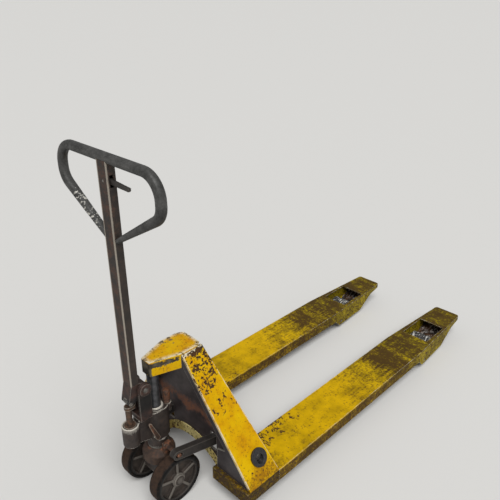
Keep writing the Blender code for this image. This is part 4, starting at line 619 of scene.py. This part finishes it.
cast("steering_ring", "link_yoke", 0.0016, "carriage", "rusty_steel", rusty_iron, rounds=16)
centre, half = span("thrust_bearing")
inner = half.x - RACE_WALL
turned(
    "thrust_race", centre, (0, 0, 1),
    [
        (inner, -half.z), (half.x, -half.z), (half.x, -RACE_GAP), (half.x - RACE_GROOVE, 0),
        (half.x, RACE_GAP), (half.x, half.z), (inner, half.z), (inner, -half.z),
    ],
    "carriage", "bright_steel", drawn_steel, "thrust_bearing",
)

# Pump. One iron casting holds the ram's cylinder, the plunger's cup in front and the valves. The ram, its
# gland, the valve cap and the plunger are turned to fit it. The machined rims are rubbed pale, and the rest
# is dark with oil and dust.
NECK_RADIUS = 0.0155
RAM_CHAMFER = 0.001
STEP_CHAMFER = 0.0015
STEP_DROP = 0.004
VALVE_EDGE = 0.0012
PLUNGER_EDGE = 0.0008
LIP_SCUFF = (0.026, 0.004)
CUP_BACK = (0.052, 0.046)

# Oily cast iron: dark brown and dull, with white rims and a scuffed lip round the plunger's cup.
pump_iron, tree, shader, place = new_finish("oily_cast_iron")
_, y, z = xyz(tree, place)
cup_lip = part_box("plunger_spring")[1].z
pump_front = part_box("pump_body")[0].y
lip = ramp(tree, z, *down_from(cup_lip, LIP_SCUFF), high=0.34)
lip = reckon(tree, "MULTIPLY", lip, ramp(tree, y, *up_from(pump_front, CUP_BACK)))
bare_metal(
    tree, shader, place, reckon(tree, "MAXIMUM", edge_wear(tree, reach=0.0044), lip),
    dark="#2a2320", light="#3e3530", rust="#573622", rusted=0.05,
    bright="#d8d2c6", bright_share=1.0, roughness=0.58, metallic=0.2, grain=0.020,
)
cast("pump_casting", "pump_body", 0.0015, "pump", "cast_iron", pump_iron, rounds=3)

# Ground ram steel: smooth dark grey under a film of oil.
ground_steel = plain_metal(
    "ground_ram_steel", 0.0020, dark="#3f3f40", light="#57575a", rust="#3f342c", rusted=-0.10,
    bright="#8f8d89", bright_share=0.4, roughness=0.34, metallic=0.6, grain=0.014,
)
low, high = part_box("ram")
ram_radius = (high.x - low.x) / 2
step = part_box("head_cap")[0].z - STEP_DROP
turned(
    "ram_rod", Vector((0, low.y + ram_radius, 0)), (0, 0, 1),
    [
        (0, low.z), (ram_radius - RAM_CHAMFER, low.z), (ram_radius, low.z + RAM_CHAMFER),
        (ram_radius, step - STEP_CHAMFER), (ram_radius - STEP_CHAMFER, step), (NECK_RADIUS, step),
        (NECK_RADIUS, high.z - RAM_CHAMFER), (NECK_RADIUS - RAM_CHAMFER, high.z), (0, high.z),
    ],
    "frame", "bright_steel", ground_steel, "ram",
)
pin("ram_socket", "ram_seat", 2, RAM_CHAMFER, "frame", "dark_steel", forged_steel, steps=64)
# The gland is stepped near its top for a spanner, and countersunk round the ram.
centre, half = span("ram_gland")
gland, foot, top = half.x, -half.z, half.z
gland_bore = ram_radius + RUNNING_FIT
turned(
    "gland_nut", centre, (0, 0, 1),
    [
        (gland_bore, foot), (gland, foot), (gland, top - 0.0035), (gland - 0.0018, top - 0.0030),
        (gland - 0.0018, top - 0.0010), (gland - 0.0028, top), (gland_bore + 0.0015, top),
        (gland_bore, top - 0.0015), (gland_bore, foot),
    ],
    "pump", "dark_steel", pump_iron, "ram_gland",
)
# The valve cap has a groove round its foot and a domed top.
centre, half = span("relief_valve_cap")
dome, foot, top = half.x, -half.z, half.z
turned(
    "valve_dome", centre, (0, 0, 1),
    [
        (0, foot), (dome, foot), (dome, foot + 0.0060), (dome - 0.0012, foot + 0.0072),
        (dome - 0.0012, foot + 0.0090), (dome, foot + 0.0102), (dome, top - 0.0068),
        (dome * 0.94, top - 0.0042), (dome * 0.78, top - 0.0020), (dome * 0.45, top - 0.0005), (0, top),
    ],
    "pump", "rusty_steel", rusty_iron, "relief_valve_cap",
)
edged("valve_arm", "valve_lever", "valve", "rusty_steel", rusty_iron, VALVE_EDGE)

# Plunger steel: rusted brown above its seal, where no oil reaches it.
plunger_steel = plain_metal(
    "rusted_plunger_steel", 0.0025, dark="#3d3027", light="#5c4636", rust="#85502f", rusted=0.12,
    bright="#b9b1a3", bright_share=0.8, roughness=0.6, metallic=0.3, grain=0.010,
)
# Below the cup's lip the plunger is drawn in, its foot most, to run clear in the casting's soft bore.
PLUNGER_EASE = 0.94
FOOT_EASE = 0.80
plunger_mesh = node_mesh("plunger")
plunger_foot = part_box("plunger")[0].z + 0.001
plunger_y = span("plunger_spring")[0].y
for vertex in plunger_mesh.vertices:
    if vertex.co.z < cup_lip:
        ease = FOOT_EASE if vertex.co.z < plunger_foot else PLUNGER_EASE
        vertex.co.x *= ease
        vertex.co.y = plunger_y + (vertex.co.y - plunger_y) * ease
plunger = dress("plunger_rod", plunger_mesh, "plunger_slide", "bright_steel", plunger_steel, "plunger")
break_edges(plunger, PLUNGER_EDGE)

# Plunger spring. Round spring wire wound in five turns between the cup's floor and the plunger's collar,
# black from the tempering oil. It shortens as the handle pumps.
WIRE = 0.0028
COIL_TURNS = 5
COIL_POINTS = 28
spring_low, spring_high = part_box("plunger_spring")
spring_length = spring_high.z - spring_low.z
coil_middle = (spring_low + spring_high) / 2
coil_radius = (spring_high.x - spring_low.x - WIRE) / 2
coil = bpy.data.curves.new("spring_wire", "CURVE")
coil.dimensions = "3D"
coil.bevel_depth = WIRE / 2
coil.bevel_resolution = 3
coil.use_fill_caps = True
line = coil.splines.new("POLY")
line.points.add(COIL_TURNS * COIL_POINTS)
for number, point in enumerate(line.points):
    angle = 2 * math.pi * number / COIL_POINTS
    point.co = (
        coil_middle.x + coil_radius * math.cos(angle),
        coil_middle.y + coil_radius * math.sin(angle),
        spring_low.z + WIRE / 2 + (spring_length - WIRE) * number / (COIL_TURNS * COIL_POINTS),
        1,
    )
guide = bpy.data.objects.new("spring_guide", coil)
bpy.context.scene.collection.objects.link(guide)
bpy.context.view_layer.update()
coil_mesh = bpy.data.meshes.new_from_object(guide.evaluated_get(bpy.context.evaluated_depsgraph_get()))
bpy.data.objects.remove(guide)
bpy.data.curves.remove(coil)
coil_mesh.materials.clear()
coil_mesh.shade_smooth()
spring = dress("plunger_coil", coil_mesh, "pump", "bright_steel", forged_steel, "plunger_spring")
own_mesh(spring)

# Steering wheels. Each is an iron hub with five ribs, a solid black rubber tyre pressed on it, and a dished
# cap over the bearing. They turn on a steel axle through the block under the pump. The ribs are rubbed
# grey, and dust has browned the panels between them.
SHOULDER = 0.006
SHOULDER_STEPS = 5
SEAT_FIT = 0.0002
TYRE_CHAMFER = 0.002
# Out from the wheel's middle: the cap's edge along the radius, the ribs' faces along the axle.
CAP_EDGE = (0.0185, 0.0205)
RIB_FACE = (0.0130, 0.0160)
# In from the hub's rim and from the tyre's side.
HUB_RING = (0.004, 0.012)
TREAD_EDGE = (0.002, 0.007)

# Dusty hub iron: dull brown panels, grey ribs, and a dark ring against the tyre.
hub_iron, tree, shader, place = new_finish("dusty_hub_iron")
x = xyz(tree, place)[0]
hub_middle, hub_half = span("steer_hub_right")
outward = add(tree, "VectorMath", {0: place, 1: hub_middle}, operation="SUBTRACT")
outward = add(tree, "VectorMath", {0: outward, 1: (0, 1, 1)}, operation="MULTIPLY")
outward = add(tree, "VectorMath", {0: outward}, operation="LENGTH").outputs["Value"]
inboard = ramp(tree, outward, *down_from(hub_half.z, HUB_RING))
off_centre = reckon(tree, "SUBTRACT", reckon(tree, "ABSOLUTE", x), hub_middle.x)
raised = ramp(tree, reckon(tree, "ABSOLUTE", off_centre), *RIB_FACE, high=0.50)
raised = reckon(tree, "MULTIPLY", raised, ramp(tree, outward, *CAP_EDGE))
rubbed = reckon(tree, "MAXIMUM", edge_wear(tree, reach=0.0040), raised)
bare_metal(
    tree, shader, place, reckon(tree, "MULTIPLY", rubbed, inboard),
    dark=blend(tree, inboard, "#121110", "#2f2823"), light=blend(tree, inboard, "#1c1a18", "#463d36"),
    rust="#4c3529", rusted=0.07, bright="#7a746c", bright_share=0.9,
    roughness=0.66, metallic=0.15, grain=0.016,
)

# Solid rubber: black and dull on its sides, with floor dust ground brown into the tread.
tyre_middle, tyre_half = span("steer_tyre_right")
rubber, tree, shader, place = new_finish("solid_rubber")
x = xyz(tree, place)[0]
scuff = noise(tree, place, 0.012, 5.0, 0.7)
off_centre = reckon(tree, "SUBTRACT", reckon(tree, "ABSOLUTE", x), tyre_middle.x)
off_centre = reckon(tree, "ABSOLUTE", off_centre)
ground_in = ramp(tree, off_centre, *down_from(tyre_half.x, TREAD_EDGE), -0.12, 0.16)
dusty = ramp(tree, reckon(tree, "ADD", scuff, ground_in), 0.40, 0.72)
connect(tree, shader, {
    "Base Color": blend(tree, dusty, "#0e0d0c", "#3f3027"),
    "Roughness": ramp(tree, dusty, 0.0, 1.0, 0.55, 0.85),
    "Specular IOR Level": 0.15,
    "Normal": add(tree, "Bump", {"Strength": 0.4, "Distance": 0.0003, "Height": scuff}),
})

cast("axle_carrier", "axle_block", 0.0016, "pump", "cast_iron", pump_iron)
pin("steering_spindle", "steer_axle", 0, RAM_CHAMFER, "pump", "bright_steel", drawn_steel)
race_bore = span("steer_axle")[1].z + RUNNING_FIT
for side, sign in SIDES.items():
    body = "wheel_" + side
    centre, half = span("steer_tyre_" + side)
    seat = span("steer_hub_" + side)[1].z + SEAT_FIT
    bends = [math.pi / 2 * i / SHOULDER_STEPS for i in range(SHOULDER_STEPS + 1)]
    shoulder = [
        (half.z - SHOULDER * (1 - math.sin(a)), half.x - SHOULDER * (1 - math.cos(a))) for a in bends
    ]
    turned(
        "rubber_tyre_" + side, centre, (1, 0, 0),
        both_sides([(seat, half.x - TYRE_CHAMFER), (seat + TYRE_CHAMFER, half.x)] + shoulder),
        body, "black_rubber", rubber, "steer_tyre_" + side, steps=96,
    )
    cast("ribbed_hub_" + side, "steer_hub_" + side, 0.0014, body, "cast_iron", hub_iron, rounds=2)
    low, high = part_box("hub_cap_" + side)
    rim, height = (high.z - low.z) / 2, high.x - low.x
    foot = Vector((low.x if sign > 0 else high.x, centre.y, centre.z))
    dish = [
        (0, 0), (1, 0), (1, 0.35), (0.93, 0.62), (0.80, 0.86), (0.66, 1), (0.60, 1), (0.55, 0.78), (0, 0.74)
    ]
    turned(
        "bearing_cap_" + side, foot, (sign, 0, 0), [(rim * r, height * along) for r, along in dish],
        body, "dark_steel", hub_iron, "hub_cap_" + side,
    )
    half = span("steer_bearing_" + side)[1]
    turned(
        "wheel_race_" + side, centre, (1, 0, 0), both_sides([(race_bore, half.x), (half.z, half.x)]),
        body, "bright_steel", drawn_steel, "steer_bearing_" + side, steps=32,
    )

# Handle foot. A forked iron bracket bolted on the pump takes the handle's pin between two round bosses. The
# cast foot tips on that pin and works the plunger with a small roller.
TILT_CHAMFER = 0.0012
CAM_EDGE = 0.0005
# The part of the bracket painted black as shadow below the bosses: down from its top and up from its foot.
BOSS_FOOT = (0.036, 0.052)
PUMP_JOINT = (0.020, 0.045)

# Bracket iron: dull, brown with rust on the bosses, and black below them, which is painted shadow.
bracket_iron, tree, shader, place = new_finish("bracket_iron")
z = xyz(tree, place)[2]
ear_low, ear_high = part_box("handle_bracket")
# Painted shadow: the band below the bosses is darkened to near black.
shadow_below_bosses = ramp(tree, z, *down_from(ear_high.z, BOSS_FOOT))
shadow_below_bosses = reckon(tree, "MULTIPLY", shadow_below_bosses, ramp(tree, z, *up_from(ear_low.z, PUMP_JOINT)))
bare_metal(
    tree, shader, place, edge_wear(tree, reach=0.0035),
    dark=blend(tree, shadow_below_bosses, "#2b2220", "#110f0e"), light=blend(tree, shadow_below_bosses, "#443029", "#1f1b19"),
    rust="#553325", rusted=ramp(tree, shadow_below_bosses, 0.0, 1.0, 0.12, -0.10),
    bright="#9a9389", bright_share=0.7, roughness=0.6, metallic=0.25, grain=0.016,
)
cast("handle_fork", "handle_bracket", 0.0013, "pump", "dark_steel", bracket_iron, rounds=3)
cast("handle_root", "handle_foot", 0.0012, "handle", "rusty_steel", bracket_iron, rounds=3)
pin("tilt_pin", "handle_pin", 0, TILT_CHAMFER, "pump", "bright_steel", drawn_steel)
edged("cam_wheel", "cam_roller", "cam", "bright_steel", drawn_steel, CAM_EDGE)

# Handle shaft. Flat-sided steel tube with rolled corners, set over the foot's tongue and slotted near the top
# for the control lever. Its grey paint is long gone.
TUBE_CORNER = 0.0025
# In from a corner, in from the front face, and down from the top.
CORNER_RUB = (0.0050, 0.0010)
FRONT_RUST_AND_LIGHT = (0.0015, 0.0005)
TOP_RUST = (0.35, 0.05)

# Rusty tube: brown, reddest near the top, its front face reddened as rust and as painted light that sets it
# lighter than the side, and rubbed to a pale line along the front corners.
shaft_middle, shaft_half = span("handle_shaft")
shaft_top = shaft_middle.z + shaft_half.z
shaft_steel, tree, shader, place = new_finish("rusty_tube")
x, y, z = xyz(tree, place)
across = ramp(tree, reckon(tree, "ABSOLUTE", x), *down_from(shaft_half.x, CORNER_RUB))
ahead = reckon(tree, "SUBTRACT", y, shaft_middle.y)
corner = reckon(tree, "MULTIPLY", across, ramp(tree, ahead, *up_from(-shaft_half.y, CORNER_RUB)))
# Rust and painted light: the front face is reddened, which also makes it lighter than the right side.
front_rust_and_light = ramp(tree, ahead, *up_from(-shaft_half.y, FRONT_RUST_AND_LIGHT), high=0.24)
top_rust = ramp(tree, z, *down_from(shaft_top, TOP_RUST), high=0.18)
bare_metal(
    tree, shader, place, corner, dark="#2c2724", light="#3e342d", rust="#5a3a2b",
    rusted=reckon(tree, "MAXIMUM", front_rust_and_light, top_rust),
    bright="#a89f92", bright_share=0.9, roughness=0.66, metallic=0.2, grain=0.030,
)
edged("handle_tube", "handle_shaft", "handle", "rusty_steel", shaft_steel, TUBE_CORNER, 3, 60)

# Control lever. A flat tapered finger lever of forged steel, on a drawn pin through the shaft. It lifts the
# release rod, a steel wire that hangs down inside the shaft.
FINGER_EDGE = 0.0022
WIRE_CHAMFER = 0.0005
edged("finger_lever", "control_lever", "control", "rusty_steel", forged_steel, FINGER_EDGE, 3)
pin("lever_rivet", "lever_pin", 1, PIN_CHAMFER, "handle", "bright_steel", drawn_steel, steps=24)
pin("release_wire", "release_rod", 2, WIRE_CHAMFER, "release", "bright_steel", forged_steel, steps=16)

# Handle loop. One length of thick-walled tube, bent to a closed hand loop and welded to the shaft: a top
# bar, two shoulders and two strands that slope in. Bending has squared its section a little, and the ends
# are pressed narrower where they meet the shaft.
TUBE = 0.027
SQUARENESS = 2.3
PRESSED_WIDTH = 0.55
PRESSED_DEPTH = 0.75
SECTION_POINTS = 32
SHOULDER_DROP = 0.0995
STRAND_FALL = 0.135
TOP_BEND = 0.060
SIDE_BEND = 0.050
BEND_STEPS = 12
WELD_GAP = 0.0003
RIDGE_SHARPNESS = 8
# The scraped strand: left of the middle, and down from the top bar.
STRAND_SIDE = (-0.025, -0.06)
STRAND_TOP = (0.09, 0.13)
loop_low, loop_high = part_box("handle_loop")
loop_y = (loop_low.y + loop_high.y) / 2
reach = (loop_high.x - loop_low.x - TUBE) / 2
bar_z = loop_high.z - TUBE / 2
weld_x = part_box("handle_shaft")[1].x + WELD_GAP
meeting = Vector((0, 0, bar_z - SHOULDER_DROP - STRAND_FALL))
corners = [
    meeting,
    Vector((-reach, 0, bar_z - SHOULDER_DROP)),
    Vector((-reach, 0, bar_z)),
    Vector((reach, 0, bar_z)),
    Vector((reach, 0, bar_z - SHOULDER_DROP)),
    meeting,
]
bends = (SIDE_BEND, TOP_BEND, TOP_BEND, SIDE_BEND)
route = [corners[0].lerp(corners[1], 0.01)]
for before, corner, after, bend in zip(corners, corners[1:], corners[2:], bends):
    way_in = (corner - before).normalized()
    way_out = (after - corner).normalized()
    swing = way_in.angle(way_out)
    start = corner - way_in * bend * math.tan(swing / 2)
    inward = (way_out - way_in * way_in.dot(way_out)).normalized()
    for number in range(BEND_STEPS + 1):
        angle = swing * number / BEND_STEPS
        route.append(start + inward * bend * (1 - math.cos(angle)) + way_in * bend * math.sin(angle))
route.append(corners[5].lerp(corners[4], 0.01))
section = []
for number in range(SECTION_POINTS):
    angle = 2 * math.pi * (number + 0.5) / SECTION_POINTS
    section.append([
        TUBE / 2 * math.copysign(abs(part) ** (2 / SQUARENESS), part)
        for part in (math.cos(angle), math.sin(angle))
    ])

cage = bmesh.new()
ridge = cage.verts.layers.float.new("ridge")
painted_underside_shade = cage.verts.layers.float.new("painted_underside_shade")
last = len(route) - 1
rings = []
for number, point in enumerate(route):
    way = (route[min(number + 1, last)] - route[max(number - 1, 0)]).normalized()
    out = Vector((0, 1, 0)).cross(way)
    welded = number in (0, last)
    ring = []
    for u, v in section:
        if welded:
            u *= PRESSED_WIDTH
            v *= PRESSED_DEPTH
        spot = point + out * u + Vector((0, v, 0))
        # How far each point lies below the tube's middle, kept for the painted shade on the underside.
        below = (point.z - spot.z) / (TUBE / 2)
        if welded:
            spot += way * ((weld_x if number else -weld_x) - spot.x) / way.x
        vertex = cage.verts.new(spot + Vector((0, loop_y, 0)))
        vertex[painted_underside_shade] = below
        upper_front = max(0.0, -(u + v) / TUBE)
        vertex[ridge] = upper_front ** RIDGE_SHARPNESS if abs(point.z - bar_z) < TUBE / 2 else 0.0
        ring.append(vertex)
    rings.append(ring)
for first, second in zip(rings, rings[1:]):
    for i in range(SECTION_POINTS):
        j = (i + 1) % SECTION_POINTS
        cage.faces.new((first[i], first[j], second[j], second[i]))
cage.faces.new(rings[0])
cage.faces.new(rings[-1])
bmesh.ops.recalc_face_normals(cage, faces=cage.faces)
loop_mesh = bpy.data.meshes.new("bent_loop")
cage.to_mesh(loop_mesh)
cage.free()
loop_mesh.shade_smooth()
loop_mesh.set_sharp_from_angle(angle=math.radians(40))

# Scuffed grey paint: dull and blotched, darkened underneath with painted shade, with a bright ridge along
# the top bar and long white scrapes down the left strand.
loop_paint, tree, shader, place = new_finish("scuffed_grey_paint")
x, _, z = xyz(tree, place)
scuffs = noise(tree, place, 0.006, 5.0, 0.7)
tone = ramp(tree, reckon(tree, "ADD", scuffs, noise(tree, place, 0.035, 3.0)), 0.72, 1.30)
colour = blend(tree, tone, "#2d2d2b", "#585755")
# Painted shade: the lower side of the tube is darkened toward near black, more the lower it lies.
underside = add(tree, "Attribute", {}, attribute_name="painted_underside_shade").outputs["Fac"]
colour = blend(tree, ramp(tree, underside, -0.15, 0.70, high=0.75), colour, "#151413")
worn = add(tree, "Attribute", {}, attribute_name="ridge").outputs["Fac"]
worn = ramp(tree, reckon(tree, "MULTIPLY", worn, scuffs), 0.15, 0.45, high=0.7)
colour = blend(tree, worn, colour, "#a9a69c")
strand = reckon(tree, "MULTIPLY", ramp(tree, x, *STRAND_SIDE), ramp(tree, z, *down_from(bar_z, STRAND_TOP)))
slope = math.atan2(STRAND_FALL, reach)
along_strand = add(tree, "VectorRotate", {"Vector": place, "Angle": slope}, rotation_type="Y_AXIS")
scraped = noise(tree, along_strand, (0.045, 0.010, 0.007), 4.0, 0.65)
scraped = ramp(tree, reckon(tree, "MULTIPLY_ADD", strand, 0.22, scraped), 0.77, 0.81)
connect(tree, shader, {
    "Base Color": blend(tree, scraped, colour, "#c9c6bd"),
    "Roughness": ramp(tree, tone, 0.0, 1.0, 0.62, 0.45),
    "Metallic": 0.25,
    "Normal": add(tree, "Bump", {"Strength": 0.45, "Distance": 0.0005, "Height": tone}),
})
dress("bent_loop", loop_mesh, "handle", "grey_steel", loop_paint, "handle_loop")

# Floor, light and camera. A plain pale studio floor under even sky light and one soft lamp from above and
# ahead on the right. The camera stands where the photograph was taken.
FLOOR = 150
SKY_STRENGTH = 0.36
LAMP_STRENGTH = 2.4
LAMP_SPREAD = math.radians(40)
LAMP_SIDE = (0.55, -0.35, 1)
VIEWPOINT = (1.2239, -1.51955, 1.5748)
AZIMUTH = math.radians(44.85)
ELEVATION = math.radians(25.66)
ROLL = math.radians(-0.2)
FOCAL_LENGTH = 41.225
floor_mesh = bpy.data.meshes.new("floor")
floor_mesh.from_pydata(
    [(-FLOOR, -FLOOR, 0), (FLOOR, -FLOOR, 0), (FLOOR, FLOOR, 0), (-FLOOR, FLOOR, 0)], [], [(0, 1, 2, 3)]
)
floor = bpy.data.objects.new("floor", floor_mesh)
bpy.context.scene.collection.objects.link(floor)
floor_paint, tree, shader, _ = new_finish("pale_floor")
connect(tree, shader, {"Base Color": "#d9d8d5", "Roughness": 0.9})
floor_mesh.materials.append(floor_paint)

world = bpy.data.worlds.new("studio")
world.use_nodes = True
sky = world.node_tree.nodes["Background"]
connect(world.node_tree, sky, {"Color": "#ffffff", "Strength": SKY_STRENGTH})
bpy.context.scene.world = world
sun = bpy.data.lights.new("soft_lamp", "SUN")
sun.energy = LAMP_STRENGTH
sun.angle = LAMP_SPREAD
lamp = bpy.data.objects.new("soft_lamp", sun)
lamp.rotation_euler = Vector(LAMP_SIDE).to_track_quat("Z", "Y").to_euler()
bpy.context.scene.collection.objects.link(lamp)

view = bpy.data.cameras.new("camera")
view.sensor_width = 36
view.lens = FOCAL_LENGTH
camera = bpy.data.objects.new("camera", view)
turn = Matrix.Rotation(AZIMUTH, 4, "Z") @ Matrix.Rotation(math.pi / 2 - ELEVATION, 4, "X")
camera.matrix_world = Matrix.Translation(VIEWPOINT) @ turn @ Matrix.Rotation(ROLL, 4, "Z")
bpy.context.scene.collection.objects.link(camera)
bpy.context.scene.camera = camera
bpy.context.scene.view_settings.view_transform = "Standard"
